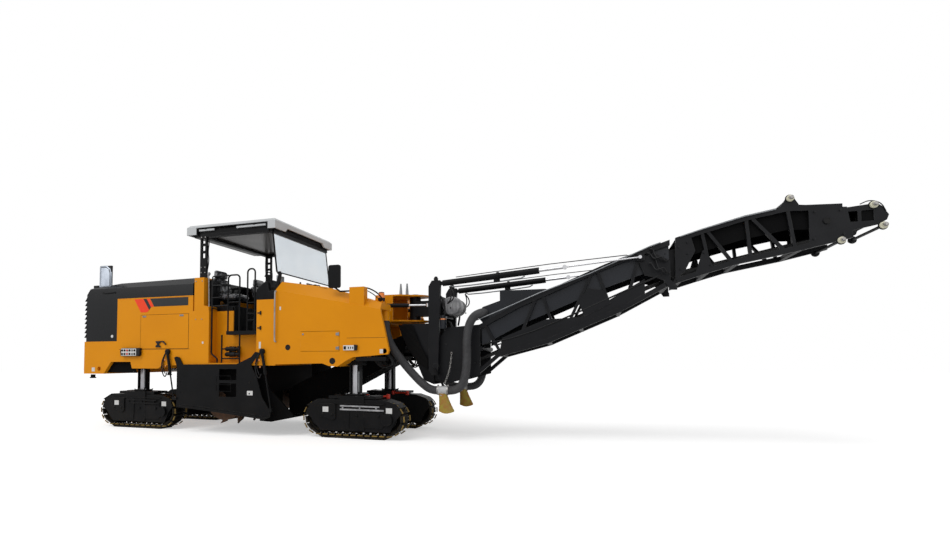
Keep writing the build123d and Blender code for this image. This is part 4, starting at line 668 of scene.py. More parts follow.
class Shape:
    """Gathers solids in stations and turns them into one object that rides a body."""

    def __init__(self, name: str) -> None:
        """Start an empty shape of that name."""
        self.name = name
        self.mesh = bmesh.new()

    def _take(self, verts: Iterable[bmesh.types.BMVert], place: Matrix) -> None:
        """Move vertices by a matrix."""
        bmesh.ops.transform(self.mesh, matrix=place, verts=list(verts))

    def box(self, x: Flat, y: Flat, z: Flat) -> "Shape":
        """Upright box between two values of each axis.

        Args:
            x: range of stations.
            y: range of widths.
            z: range of heights.

        Returns:
            The shape.
        """
        size = (x[1] - x[0], y[1] - y[0], z[1] - z[0])
        middle = Vector(((x[0] + x[1]) / 2, (y[0] + y[1]) / 2, (z[0] + z[1]) / 2))
        made = bmesh.ops.create_cube(self.mesh, size=1.0)
        self._take(made["verts"], Matrix.Translation(middle) @ Matrix.Diagonal((*size, 1.0)))
        return self

    def bar(self, start: Point, end: Point, width: float, height: float) -> "Shape":
        """Square bar between two points, width across and height in the upright plane.

        Args:
            start: middle of one end.
            end: middle of the other.
            width: size across.
            height: size in the upright plane.

        Returns:
            The shape.
        """
        low, high = Vector(start), Vector(end)
        along = (high - low).normalized()
        side = Vector(UP).cross(along)
        side = side.normalized() if side.length > 0.01 else Vector((0, 1, 0))
        turn = Matrix((along, side, along.cross(side))).transposed().to_4x4()
        made = bmesh.ops.create_cube(self.mesh, size=1.0)
        scale = Matrix.Diagonal(((high - low).length, width, height, 1.0))
        self._take(made["verts"], Matrix.Translation((low + high) / 2) @ turn @ scale)
        return self

    def rod(self, start: Point, end: Point, radius: float, tip: Optional[float] = None,
            sides: int = 20) -> "Shape":
        """Round rod, or a cone where tip gives another end radius.

        Args:
            start: middle of one end.
            end: middle of the other.
            radius: radius at the start.
            tip: radius at the end, where it differs.
            sides: number of sides.

        Returns:
            The shape.
        """
        low, high = Vector(start), Vector(end)
        turn = (high - low).to_track_quat("Z", "Y").to_matrix().to_4x4()
        made = bmesh.ops.create_cone(self.mesh, cap_ends=True, segments=sides, radius1=radius,
                                     radius2=radius if tip is None else tip,
                                     depth=(high - low).length)
        self._take(made["verts"], Matrix.Translation((low + high) / 2) @ turn)
        return self

    def lathe(self, start: Point, axis: Point, outline: Sequence[Flat],
              sides: int = 24) -> "Shape":
        """Turned solid: outline gives (distance along the axis, radius).

        Args:
            start: where the axis starts.
            axis: its direction.
            outline: distances along the axis with their radii.
            sides: number of sides.

        Returns:
            The shape.
        """
        turn = Vector(axis).to_track_quat("Z", "Y").to_matrix().to_4x4()
        place = Matrix.Translation(Vector(start)) @ turn
        rings = []
        for run, radius in outline:
            radius = max(radius, 1e-4)
            rings.append([self.mesh.verts.new(place @ Vector((radius * c, radius * s, run)))
                          for c, s in circle(sides)])
        self.skin(rings)
        return self

    def tube(self, points: Sequence[Point], radius: float, sides: int = 10,
             smooth: int = 0) -> "Shape":
        """Bent tube along a path; smooth rounds its corners by that many passes.

        Args:
            points: the path.
            radius: radius of the tube.
            sides: number of sides.
            smooth: passes that round the path's corners.

        Returns:
            The shape.
        """
        path = [Vector(point) for point in points]
        for _ in range(smooth):
            cut = [path[0]]
            for before, after in zip(path, path[1:]):
                cut += [before.lerp(after, 0.25), before.lerp(after, 0.75)]
            path = [*cut, path[-1]]
        rings = []
        normal = Vector(UP).cross(path[1] - path[0])
        normal = normal.normalized() if normal.length > 1e-6 else Vector((0, 1, 0))
        for index, point in enumerate(path):
            ahead = path[min(index + 1, len(path) - 1)] - path[max(index - 1, 0)]
            ahead.normalize()
            normal = (normal - ahead * normal.dot(ahead)).normalized()
            cross = ahead.cross(normal)
            rings.append([self.mesh.verts.new(point + radius * (normal * c + cross * s))
                          for c, s in circle(sides)])
        self.skin(rings)
        return self

    def skin(self, rings: Sequence[Sequence[bmesh.types.BMVert]]) -> None:
        """Close faces between rings of equal count and cap the ends.

        Args:
            rings: rings of vertices, in order.
        """
        for before, after in zip(rings, rings[1:]):
            count = len(before)
            for i in range(count):
                j = (i + 1) % count
                self.mesh.faces.new((before[i], before[j], after[j], after[i]))
        self.mesh.faces.new(list(reversed(rings[0])))
        self.mesh.faces.new(rings[-1])

    def prism(self, outline: Sequence[Flat], y: Flat) -> "Shape":
        """Plate with an outline of (x, z) between two widths.

        Args:
            outline: outline in the side view.
            y: range of widths.

        Returns:
            The shape.
        """
        near = [self.mesh.verts.new((x, y[0], z)) for x, z in outline]
        far = [self.mesh.verts.new((x, y[1], z)) for x, z in outline]
        self.skin((near, far))
        return self

    def bolts(self, places: Iterable[Point], axis: Point, radius: float = 0.011,
              height: float = 0.008) -> "Shape":
        """Hexagon heads standing on a surface."""
        for place in places:
            top = Vector(place) + Vector(axis) * height
            self.rod(place, tuple(top), radius, sides=6)
        return self

    def mirrored(self) -> "Shape":
        """Add the left-hand twin of all that is there.

        Returns:
            The shape.
        """
        made = bmesh.ops.duplicate(self.mesh, geom=self.mesh.verts[:] + self.mesh.edges[:]
                                   + self.mesh.faces[:])["geom"]
        verts = [item for item in made if isinstance(item, bmesh.types.BMVert)]
        self._take(verts, Matrix.Diagonal((1.0, -1.0, 1.0, 1.0)))
        return self

    def loose(self, finish: Material, bevel: float = 0.0) -> Thing:
        """Turn the shape into an object that rides nothing yet.

        Args:
            finish: its material.
            bevel: radius of the rounded edges, or 0.

        Returns:
            The object.
        """
        bmesh.ops.recalc_face_normals(self.mesh, faces=self.mesh.faces[:])
        data = bpy.data.meshes.new(self.name)
        bmesh.ops.translate(self.mesh, verts=self.mesh.verts[:], vec=(Site.leg_x, 0, 0))
        self.mesh.to_mesh(data)
        self.mesh.free()
        data.materials.append(finish)
        for face in data.polygons:
            face.use_smooth = True
        data.set_sharp_from_angle(angle=SMOOTH_ANGLE)
        item = show(self.name, data)
        if bevel:
            modifier = item.modifiers.new("edges", "BEVEL")
            modifier.width, modifier.segments = bevel, 2
            modifier.limit_method, modifier.angle_limit = "ANGLE", SMOOTH_ANGLE
        LOG.info("%s: %d faces", self.name, len(data.polygons))
        return item


@dataclass(frozen=True)
class Order:
    """A shape and how it becomes an object."""

    shape: Shape
    finish: str
    bevel: float
    body: str
    slot: Optional[str]
    stands_for: Optional[str]
    twin: bool


@dataclass
class Assembly:
    """A sub-assembly: it knows the palette and the body that carries it."""

    palette: Palette
    body: str = "chassis"
    side_y: float = -1.25
    orders: list[Order] = field(default_factory=list)

    def build(self) -> None:
        """Add the sub-assembly's pieces to the scene."""
        raise NotImplementedError

    def proud(self, by: float, back: float = 0.0) -> Flat:
        """Width range of a plate that stands off the right-hand wall."""
        return (self.side_y - by, self.side_y - back)

    def piece(self, name: str, finish: str, bevel: float = 0.0, body: Optional[str] = None,
              slot: Optional[str] = None, stands_for: Optional[str] = None,
              twin: bool = False) -> Shape:
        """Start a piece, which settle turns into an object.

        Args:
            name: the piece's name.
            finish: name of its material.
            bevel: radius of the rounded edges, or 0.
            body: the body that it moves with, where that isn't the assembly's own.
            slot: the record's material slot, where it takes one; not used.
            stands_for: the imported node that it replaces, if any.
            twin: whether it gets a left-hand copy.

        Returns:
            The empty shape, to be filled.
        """
        self.orders.append(Order(Shape(name), finish, bevel, body or self.body, slot, stands_for,
                                 twin))
        return self.orders[-1].shape

    def pair(self, name: str, finish: str, bevel: float = 0.0, **more: object) -> Shape:
        """Start a piece that gets a left-hand copy."""
        return self.piece(name, finish, bevel, twin=True, **more)

    def settle(self) -> None:
        """Turn the pieces into objects, in the order in which they were started."""
        for order in self.orders:
            shape = order.shape.mirrored() if order.twin else order.shape
            item = shape.loose(self.palette[order.finish], order.bevel)
            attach(item, order.body)
            if order.stands_for:
                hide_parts(order.stands_for)


# ---------------------------------------------------------------- rear: hood, doors, tail
@dataclass
class EngineHood(Assembly):
    """Hood trim: mirror panes, handles, lamp box and the striped bands beside it."""

    body: str = "hood"
    mirror_y: float = 1.17
    film: float = 0.0025
    film_back: float = 0.0002

    def build(self) -> None:
        """Add the hood's trim and the bands on the rear body."""
        self._mirrors()
        self._fittings()
        self._bands()

    def _mirrors(self) -> None:
        """Rounded panes in the rear mirrors' frames."""
        # the panes' pale blue tint is a painted sky reflection
        self.pair("rear_mirror_panes", "silver_sky_tint", bevel=0.003).prism([(-5.565, 2.865),
            (-5.335, 2.865), (-5.335, 3.13), (-5.37, 3.205), (-5.44, 3.245), (-5.565, 3.245)],
            (-self.mirror_y - 0.026, -self.mirror_y - 0.018))
        self.pair("rear_mirror_rims", "silver_sky_tint").tube(at_width(-self.mirror_y - 0.01,
            [(-5.59, 2.85), (-5.59, 3.25), (-5.57, 3.27), (-5.43, 3.27), (-5.33, 3.2),
            (-5.31, 3.12), (-5.31, 2.85), (-5.59, 2.85)]), 0.019)

    def _fittings(self) -> None:
        """Lamp box, lifting handle and the round reflector."""
        box = self.pair("rear_lamp_boxes", "cable_black", bevel=0.008).box((-5.84, -5.72),
            (-1.12, -0.98), (2.79, 2.9))
        box.box((-5.83, -5.73), (-1.13, -1.12), (2.8, 2.89))
        handle = self.pair("hood_handles", "frame_black").tube([(-5.42, -1.245, 2.71),
            (-5.4, -1.262, 2.7), (-5.14, -1.262, 2.71), (-5.12, -1.245, 2.72)], 0.012, smooth=2)
        for x in (-5.42, -5.12):
            handle.rod((x, -1.248, 2.71), (x, -1.256, 2.71), 0.022)
        self.pair("hood_reflectors", "plate_white").lathe((-5.17, -1.25, 1.83), OUT,
            cap(0.03, 0.006, 0.009, 0.024))

    def _bands(self) -> None:
        """Slanted orange bands and the bare black strip over the door."""
        near, far = self.side_y - self.film, self.side_y - self.film_back
        shapes = {
            "stripe_orange": ([(-4.62, 2.555), (-4.395, 2.555), (-4.245, 2.335), (-4.295, 2.29),
                               (-4.45, 2.29)],
                              [(-4.31, 2.555), (-4.235, 2.555), (-4.135, 2.4), (-4.185, 2.385),
                               (-4.215, 2.4)]),
            "stripe_black": ([(-4.395, 2.555), (-4.31, 2.555), (-4.2, 2.385), (-4.245, 2.335)],
                             [(-4.225, 2.555), (-3.31, 2.555), (-3.31, 2.395), (-4.125, 2.395)]),
        }
        for finish, outlines in shapes.items():
            shape = self.pair(f"{finish}_bands", finish, body="chassis")
            for outline in outlines:
                shape.prism(outline, (near, far))
        self.pair("sill_trim", "body_yellow", body="chassis", slot="body_yellow").box(
            (-5.05, -3.24), self.proud(0.003), (2.566, 2.58))


@dataclass
class RearBody(Assembly):
    """Door catches, the side button box, tail plates, foot and underside lines."""

    def build(self) -> None:
        """Add the pieces on the rear body and its doors."""
        for door, mirror in (("door_right", 1.0), ("door_left", -1.0)):
            self._door(door, mirror)
        self._button_box()
        self._tail()
        self._underside()

    def _door(self, body: str, side: float) -> None:
        """Flush catches and the paddle handle of one service door.

        Args:
            body: the door's body.
            side: 1 on the right, -1 on the left.
        """
        y = side * self.side_y
        out = y - side * 0.006
        catch = self.piece(f"{body}_catches", "fitting_grey", body=body, bevel=0.003)
        for x in (-4.36, -3.46):
            catch.box((x - 0.045, x + 0.045), sorted((y, out)), (2.19, 2.222))
            catch.box((x - 0.03, x - 0.005), sorted((out, out - side * 0.004)), (2.197, 2.215))
        paddle = self.piece(f"{body}_handle", "cable_black", body=body, bevel=0.003)
        paddle.prism([(-4.06, 1.6), (-3.93, 1.6), (-3.95, 1.63), (-3.99, 1.65), (-3.94, 1.7),
            (-3.86, 1.7), (-3.86, 1.72), (-4.06, 1.72), (-4.06, 1.7), (-4.02, 1.66),
            (-4.06, 1.63)], sorted((y, out - side * 0.012)))
        paddle.tube([(-3.9, out - side * 0.01, 1.715), (-3.84, out - side * 0.02, 1.69),
            (-3.8, out - side * 0.02, 1.65)], 0.014)
        seal = self.piece(f"{body}_seal", "seam_dark_and_bore_shade", body=body)
        for x in ((-4.452, -4.446), (-3.299, -3.293)):
            seal.box(x, sorted((y, y + side * 0.004)), (1.572, 2.238))

    def _button_box(self) -> None:
        """Side control box with a pale face and two rows of buttons."""
        self.pair("button_boxes", "cable_black", bevel=0.006).prism([(-4.88, 1.43), (-4.44, 1.43),
            (-4.41, 1.46), (-4.41, 1.59), (-4.86, 1.59), (-4.9, 1.54)], self.proud(0.062))
        self.pair("button_faces", "plate_white", bevel=0.002).box((-4.865, -4.49),
            self.proud(0.066, 0.06), (1.44, 1.58))
        colours = ("cable_black", "frame_black", "link_red", "cable_black", "fitting_grey")
        for row, z in enumerate((1.475, 1.545)):
            for tone, finish in enumerate(colours):
                keys = self.pair(f"button_row_{row}_{tone}", finish)
                for column in range(tone, 6, len(colours)):
                    x = -4.835 + 0.062 * column
                    keys.lathe((x, self.side_y - 0.066, z), OUT, [(0, 0.021), (0.008, 0.021),
                        (0.009, 0.015), (0.016, 0.014), (0.018, 0.0)], sides=16)

    def _tail(self) -> None:
        """Bare plate by the lashing eye, rear foot post, lamps, painted-shade recess back and
        seam.
        """
        self.pair("tail_plates", "plate_white").box((-5.69, -5.61), self.proud(0.003),
            (1.125, 1.205))
        foot = self.pair("rear_feet", "frame_black", bevel=0.004).rod((-5.82, -1.1, 1.06),
            (-5.82, -1.1, 1.005), 0.045)
        foot.rod((-5.82, -1.1, 1.005), (-5.82, -1.1, 0.985), 0.062)
        lamps = self.pair("tail_lamps", "link_red")
        for z in (1.3, 1.42):
            lamps.lathe((-5.868, -1.05, z), (-1, 0, 0), cap(0.045, 0.014, 0.02, 0.034))
        # painted shade: a dark sheet at the back of the recess, where shade falls
        self.pair("recess_shade_backs", "painted_shade_black").prism([(-5.42, 1.1), (-5.2, 1.36), (-4.66, 1.36),
            (-4.6, 1.1)], (-1.176, -1.17))
        self.pair("tail_seams", "seam_dark_and_bore_shade").box((-4.99, -3.27), self.proud(0.002), (1.561, 1.566))

    def _underside(self) -> None:
        """Hydraulic lines and fittings that hang under the floor."""
        rng = random.Random(5)
        lines = self.pair("floor_lines", "cable_black")
        for index in range(7):
            y = -0.62 + 0.11 * index
            dip = 0.03 + 0.03 * rng.random()
            lines.tube([(-4.3, y, 1.24), (-4.05, y + 0.02, 1.24 - dip),
                (-3.75, y - 0.02, 1.24 - dip), (-3.46, y, 1.235)], 0.014, smooth=2)
        valve = self.pair("floor_valves", "fitting_grey", bevel=0.004).box((-4.22, -4.02),
            (-0.72, -0.5), (1.13, 1.25))
        valve.box((-4.0, -3.92), (-0.66, -0.56), (1.17, 1.25))
        for x in (-4.18, -4.12, -4.06):
            valve.rod((x, -0.72, 1.17), (x, -0.76, 1.17), 0.018)


# ---------------------------------------------------------------- operator's station
@dataclass
class SeatPad:
    """One stuffed pad: its outline in the side view, its width and how far it crowns."""

    name: str
    outline: Sequence[Flat]
    half: float
    taper: float = 0.9
    fill: float = 0.75


@dataclass
class Seats(Assembly):
    """Two sprung seats with stuffed pads, arm rests and folded belts."""

    seat_y: float = 0.66
    frames: int = 16
    voxel: float = 0.012
    pressure: float = 4.0
    stretch: float = 25.0
    bending: float = 2.0
    limit: float = 0.016
    pads: tuple[SeatPad, ...] = (
        SeatPad("cushion", ((-2.985, 2.525), (-2.52, 2.525), (-2.488, 2.56), (-2.492, 2.6),
                            (-2.54, 2.63), (-2.95, 2.618), (-2.985, 2.59)), 0.225),
        SeatPad("back", ((-2.995, 2.6), (-2.915, 2.615), (-2.94, 2.75), (-2.995, 2.95),
                         (-3.04, 2.965), (-3.08, 2.945), (-3.045, 2.72)), 0.225, 0.84),
        SeatPad("head", ((-2.985, 2.955), (-2.962, 3.04), (-2.992, 3.105), (-3.03, 3.118),
                         (-3.065, 3.108), (-3.08, 2.965)), 0.16, 0.88),
    )

    def build(self) -> None:
        """Add both seats and let them stand for the plain solid."""
        first = None
        for side in (-1, 1):
            for pad in self.pads:
                item = self._stuff(pad, side * self.seat_y, "right" if side < 0 else "left")
                first = first or item
        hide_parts("seats")
        self._frames()

    def _stuff(self, pad: SeatPad, centre: float, side: str) -> Thing:
        """Blow a pad up from its shell and let it settle.

        Args:
            pad: the pad's sizes.
            centre: its middle's width.
            side: right or left, for its name.

        Returns:
            The pad.
        """
        shape = Shape(f"seat_{pad.name}_{side}")
        steps = ((-pad.half, pad.taper), (-0.75 * pad.half, 1.0), (0.75 * pad.half, 1.0),
                 (pad.half, pad.taper))
        mid_x = sum(x for x, _ in pad.outline) / len(pad.outline)
        mid_z = sum(z for _, z in pad.outline) / len(pad.outline)
        rings = [[shape.mesh.verts.new((mid_x + (x - mid_x) * size, centre + y,
                                        mid_z + (z - mid_z) * size)) for x, z in pad.outline]
                 for y, size in steps]
        shape.skin(rings)
        item = shape.loose(self.palette["seat_cover"])
        self._modify(item, "REMESH", mode="VOXEL", voxel_size=self.voxel)
        self._simulate(item)
        self._modify(item, "SMOOTH", factor=0.6, iterations=3)
        self._modify(item, "SUBSURF", levels=1, render_levels=1)
        for face in item.data.polygons:
            face.use_smooth = True
        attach(item, self.body)
        return item

    @staticmethod
    def _modify(item: Thing, kind: str, **values: object) -> None:
        """Add a modifier and apply it.

        Args:
            item: the object.
            kind: type of the modifier.
            values: its settings.
        """
        modifier = item.modifiers.new(kind.lower(), kind)
        for name, value in values.items():
            setattr(modifier, name, value)
        with bpy.context.temp_override(object=item, active_object=item):
            bpy.ops.object.modifier_apply(modifier=modifier.name)

    def _simulate(self, item: Thing) -> None:
        """Blow the shell up as cloth, held where its seams are, and keep the result.

        Args:
            item: the pad's shell.
        """
        group = item.vertex_groups.new(name="seams")
        corners = [item.matrix_world @ Vector(corner) for corner in item.bound_box]
        low = min(c.y for c in corners)
        high = max(c.y for c in corners)
        rest = [vert.co.copy() for vert in item.data.vertices]
        seam = [v.index for v in item.data.vertices
                if min(abs(v.co.y - low), abs(v.co.y - high)) < self.voxel * 1.2
                or abs(v.co.y - (low + high) / 2) < self.voxel * 0.6]
        group.add(seam, 1.0, "REPLACE")
        cloth = item.modifiers.new("cloth", "CLOTH")
        cloth.settings.use_pressure = True
        cloth.settings.uniform_pressure_force = self.pressure
        cloth.settings.effector_weights.gravity = 0.0
        cloth.settings.vertex_group_mass = group.name
        cloth.settings.tension_stiffness = cloth.settings.compression_stiffness = self.stretch
        cloth.settings.bending_stiffness = self.bending
        cloth.point_cache.frame_end = self.frames
        scene = bpy.context.scene
        for frame in range(1, self.frames + 1):
            scene.frame_set(frame)
        graph = bpy.context.evaluated_depsgraph_get()
        moved = [vert.co.copy() for vert in item.evaluated_get(graph).data.vertices]
        item.modifiers.remove(cloth)
        scene.frame_set(1)
        for vert, before, after in zip(item.data.vertices, rest, moved):
            step = after - before
            share = min(1.0, self.limit / step.length) if step.length else 1.0
            vert.co = before + step * share

    def _frames(self) -> None:
        """Pedestals, side shells, arm rests and belt buckles."""
        for side in (-1, 1):
            where = "right" if side < 0 else "left"
            mid = side * self.seat_y
            base = self.piece(f"seat_base_{where}", "console_black", bevel=0.006).box(
                (-2.9, -2.62), (mid - 0.13, mid + 0.13), (2.37, 2.39))
            for fold in range(6):
                inset = 0.012 * (fold % 2)
                base.box((-2.88 + inset, -2.64 - inset),
                    (mid - 0.115 + inset, mid + 0.115 - inset),
                    (2.39 + 0.02 * fold, 2.41 + 0.02 * fold))
            base.box((-2.97, -2.53), (mid - 0.2, mid + 0.2), (2.505, 2.527))
            shell = self.piece(f"seat_shell_{where}", "console_black", bevel=0.008).prism(
                [(-3.0, 2.54), (-2.965, 2.54), (-2.99, 2.62), (-3.045, 2.74), (-3.083, 2.93),
                (-3.097, 2.93), (-3.07, 2.72), (-3.03, 2.6)], (mid - 0.19, mid + 0.19))
            shell.rod((-3.055, mid - 0.05, 2.9), (-3.05, mid - 0.05, 3.0), 0.007)
            shell.rod((-3.055, mid + 0.05, 2.9), (-3.05, mid + 0.05, 3.0), 0.007)
            arms = self.piece(f"seat_arms_{where}", "console_black", bevel=0.009)
            for hand in (-1, 1):
                y = mid + hand * 0.265
                arms.prism([(-2.96, 2.772), (-2.64, 2.765), (-2.6, 2.775), (-2.6, 2.8),
                    (-2.64, 2.812), (-2.96, 2.806)], (y - 0.03, y + 0.03))
                arms.prism([(-2.955, 2.6), (-2.9, 2.6), (-2.885, 2.775), (-2.94, 2.775)],
                    (y - 0.018, y + 0.018))
                arms.rod((-2.93, mid + hand * 0.2, 2.64), (-2.93, y, 2.64), 0.018)
            belt = self.piece(f"seat_belts_{where}", "cable_black", bevel=0.004)
            belt.tube([(-2.93, mid - 0.235, 2.6), (-2.88, mid - 0.238, 2.66),
                (-2.82, mid - 0.232, 2.66)], 0.013, smooth=1)
            belt.box((-2.84, -2.78), (mid - 0.25, mid - 0.222), (2.635, 2.68))


@dataclass
class OperatorDeck(Assembly):
    """Console desk, levers, displays, tread grips, well pieces and the grab bars."""

    deck_z: float = 1.87

    def build(self) -> None:
        """Add the deck's pieces."""
        self._console()
        self._rail_trim()
        self._guard()
        self._ladder_well()
        self._sleeve()

    def _console(self) -> None:
        """Sloping desk with displays, knobs, levers and cowls."""
        self.piece("desk_top", "desk_grey", bevel=0.003).prism([(-1.895, 2.724), (-1.705, 2.838),
            (-1.7, 2.846), (-1.9, 2.732)], (-0.96, 0.96))
        slope = math.atan2(2.84 - 2.72, 0.2)
        normal = (-math.sin(slope), 0.0, math.cos(slope))
        shapes = {key: self.piece(f"desk_{key}", key, bevel=0.0015) for key in (
            "cable_black", "link_red", "plate_white", "fitting_grey", "silver_sky_tint")}
        for side in (-1, 1):
            for index in range(9):
                y = side * (0.18 + 0.085 * index)
                for row in (0.25, 0.6):
                    base = (-1.9 + 0.2 * row, y, 2.734 + 0.114 * row)
                    kind = ("cable_black", "cable_black", "link_red", "cable_black",
                            "plate_white")[(index + int(row * 10)) % 5]
                    shapes[kind].lathe(base, normal, [(0, 0.016), (0.014, 0.015), (0.018, 0.011),
                        (0.018, 0)], sides=12)
            lever = shapes["cable_black"]
            for y in (side * 0.34, side * 0.76):
                lever.lathe((-1.8, y, 2.792), UP, [(0, 0.03), (0.03, 0.022), (0.05, 0.01),
                    (0.11, 0.009), (0.13, 0.019), (0.17, 0.017), (0.18, 0)], sides=14)
            shapes["fitting_grey"].box((-1.725, -1.7), sorted((side * 0.46, side * 0.7)),
                (2.83, 2.96))
            shapes["silver_sky_tint"].box((-1.728, -1.724), sorted((side * 0.475, side * 0.685)),
                (2.845, 2.945))
        cowl = self.piece("desk_cowls", "frame_black")
        for side in (-1, 1):
            cowl.tube([(-1.69, side * 0.98, 2.83), (-1.66, side * 0.99, 2.95),
                (-1.74, side * 0.985, 2.99), (-1.8, side * 0.98, 2.9)], 0.011, smooth=2)
        self.pair("console_cheeks", "console_black", slot="console_black", bevel=0.012).prism(
            [(-2.02, 1.95), (-1.99, 1.9), (-1.66, 1.9), (-1.47, 2.29), (-1.455, 2.62),
            (-1.49, 2.65), (-1.66, 2.62), (-1.7, 2.8), (-1.74, 2.81), (-1.93, 2.66)],
            (-1.055, -1.005))

    def _rail_trim(self) -> None:
        """Tread grips, pale grab bars by the front wall, side latches and bare plates."""
        strip = self.piece("deck_grips", "guide_steel")
        for index in range(26):
            x = -2.43 + 0.041 * index
            strip.box((x, x + 0.022), (-1.01, 1.01), (self.deck_z, self.deck_z + 0.004))
        self.pair("front_grab_bars", "wrap_grey").tube([(-1.388, -1.25, 2.58),
            (-1.388, -1.285, 2.58), (-1.388, -1.292, 2.5), (-1.388, -1.292, 1.76),
            (-1.388, -1.285, 1.68), (-1.388, -1.25, 1.68)], 0.013, smooth=1)
        latch = self.pair("side_latches", "cable_black", bevel=0.003)
        for z in (2.2, 1.93):
            latch.box((-1.77, -1.69), self.proud(0.008), (z - 0.012, z + 0.012))
            latch.box((-1.715, -1.69), self.proud(0.02), (z - 0.035, z + 0.035))
        plate = self.pair("side_blank_plates", "plate_white").box((-1.735, -1.695),
            self.proud(0.003), (1.56, 1.68))
        plate.box((-2.98, -2.945), self.proud(0.003), (1.66, 1.7))

    def _guard(self) -> None:
        """Thin guard rails between the well's rear post and the first grab loop."""
        y = -1.216
        guard = self.pair("guard_rails", "cable_black").tube(at_width(y, [(-2.79, 2.33),
            (-2.79, 2.9), (-2.765, 2.925), (-2.42, 2.925)]), 0.013, smooth=1)
        guard.tube([(-2.79, y, 2.36), (-2.42, y, 2.37)], 0.011)
        guard.tube(at_width(y, [(-2.79, 2.75), (-2.6, 2.75), (-2.57, 2.72), (-2.57, 2.55),
            (-2.6, 2.52), (-2.79, 2.52)]), 0.011, smooth=1)

    def _ladder_well(self) -> None:
        """Tool drums and their clamps, which show in the ladder well."""
        tools = self.pair("well_drums", "cable_black")
        for z, reach in ((1.46, 0.0), (1.56, 0.03)):
            tools.lathe((-2.56, -1.1, z), AHEAD, [(0, 0.03), (0.03, 0.045), (0.06, 0.038),
                (0.12 + reach, 0.038), (0.13 + reach, 0.047), (0.22, 0.047), (0.23, 0.03),
                (0.3, 0.03), (0.3, 0)])
        clamp = self.pair("well_clamps", "frame_black", bevel=0.004)
        for x in (-2.5, -2.32):
            clamp.box((x, x + 0.03), (-1.08, -1.02), (1.41, 1.61))

    def _sleeve(self) -> None:
        """Bolts on the mast sleeves, pale grab bars beside them and the back panels."""
        bolts = self.pair("sleeve_bolts", "bolt_steel")
        bolts.bolts([(x, self.side_y, z) for z in (2.12, 2.84) for x in (-3.13, -2.99)], OUT)
        bar = self.pair("sleeve_grab_bars", "wrap_grey").tube([(-2.955, -1.13, 2.97),
            (-2.935, -1.14, 2.965), (-2.925, -1.15, 2.9), (-2.9, -1.17, 2.62),
            (-2.875, -1.19, 2.32)], 0.012, smooth=2)
        bar.lathe((-2.945, -1.135, 2.955), (0.3, 0, 1), [(0, 0.016), (0.02, 0.03), (0.05, 0.03),
            (0.07, 0.012), (0.07, 0)])
        panel = self.pair("seat_wall_panels", "console_black", bevel=0.01).box((-2.955, -2.915),
            (-1.1, -0.8), (2.29, 2.88))
        panel.box((-2.915, -2.905), (-1.06, -0.84), (2.34, 2.84))


@dataclass
class Canopy(Assembly):
    """Roof lining, side frames and lamps, the pane's black border and the masts' trim."""

    body: str = "canopy"

    def build(self) -> None:
        """Add the canopy's pieces."""
        self.piece("roof_lining", "roof_lining", bevel=0.004).prism([(-3.38, 3.73), (-1.7, 3.8),
            (-1.7, 3.815), (-3.38, 3.745)], (-1.02, 1.02))
        ribs = self.pair("roof_ribs", "frame_black", bevel=0.006).box((-3.36, -1.66),
            (-1.09, -1.03), (3.74, 3.87))
        for x in (-3.2, -2.62, -1.95):
            ribs.box((x, x + 0.05), (-1.05, 1.05), (3.82, 3.9))
        self.pair("roof_side_frames", "frame_black").tube(at_width(-1.135, [(-3.225, 3.765),
            (-3.225, 3.865), (-3.19, 3.883), (-1.69, 3.883), (-1.648, 3.86), (-1.648, 3.765)]),
            0.013)
        lamp = self.pair("roof_side_lamps", "roof_grey", bevel=0.008)
        for x in ((-3.19, -2.84), (-2.34, -1.7)):
            lamp.box(x, (-1.128, -1.09), (3.825, 3.866))
        clip = self.pair("roof_side_clips", "cable_black")
        for x in (-3.03, -1.95):
            clip.box((x - 0.02, x + 0.02), (-1.133, -1.1), (3.855, 3.872))
        vent = self.piece("roof_front_fins", "cable_black")
        for index in range(5):
            z = 3.752 + 0.015 * index
            vent.prism([(-1.6, z), (-1.53, z + 0.004), (-1.53, z + 0.008), (-1.6, z + 0.004)],
                (-0.74, 0.74))
        self._pane()
        self._masts()

    def _pane(self) -> None:
        """Border, top rail and lower brackets of the windshield."""
        def on_pane(z: float) -> float:
            """Station of the leaning pane at a height."""
            return -1.5 - 0.09 * (z - 2.96) / 0.74
        border = self.piece("pane_border", "frame_black", bevel=0.003)
        border.tube([(on_pane(2.965) + 0.005, -1.058, 2.965), (on_pane(3.7) + 0.005, -1.058, 3.7)],
            0.016)
        border.tube([(on_pane(2.965) + 0.005, 1.058, 2.965), (on_pane(3.7) + 0.005, 1.058, 3.7)],
            0.016)
        border.bar((on_pane(2.965) + 0.005, -1.058, 2.963), (on_pane(2.965) + 0.005, 1.058, 2.963),
            0.022, 0.02)
        border.box((-1.6, -1.555), (-1.06, 1.06), (3.69, 3.765))
        for y in (-0.9, 0.9):
            border.prism([(-1.62, 3.7), (-1.56, 3.7), (-1.58, 3.8), (-1.66, 3.8)],
                (y - 0.03, y + 0.03))
        self.pair("pane_foot_brackets", "frame_black", bevel=0.004).prism([(-1.5, 2.96),
            (-1.42, 2.97), (-1.4, 2.93), (-1.47, 2.62), (-1.52, 2.46), (-1.62, 2.44),
            (-1.53, 2.66), (-1.46, 2.9)], (-1.07, -1.03))

    def _masts(self) -> None:
        """Cables that run down the masts and the mast bolts."""
        cable = self.piece("mast_cables", "cable_black")
        for side in (-1, 1):
            cable.tube([(-2.985, side * 1.1, 3.72), (-2.965, side * 1.1, 3.6),
                (-2.978, side * 1.115, 3.42), (-2.955, side * 1.11, 3.25),
                (-2.985, side * 1.118, 3.05)], 0.009, smooth=2)
            cable.tube([(-3.135, side * 1.1, 3.72), (-3.15, side * 1.11, 3.5),
                (-3.137, side * 1.115, 3.25)], 0.007, smooth=2)
        bolts = self.pair("mast_bolts", "bolt_steel")
        bolts.bolts([(x, -1.148, z) for x in (-3.105, -3.015) for z in (3.02, 3.12, 3.7)], OUT)


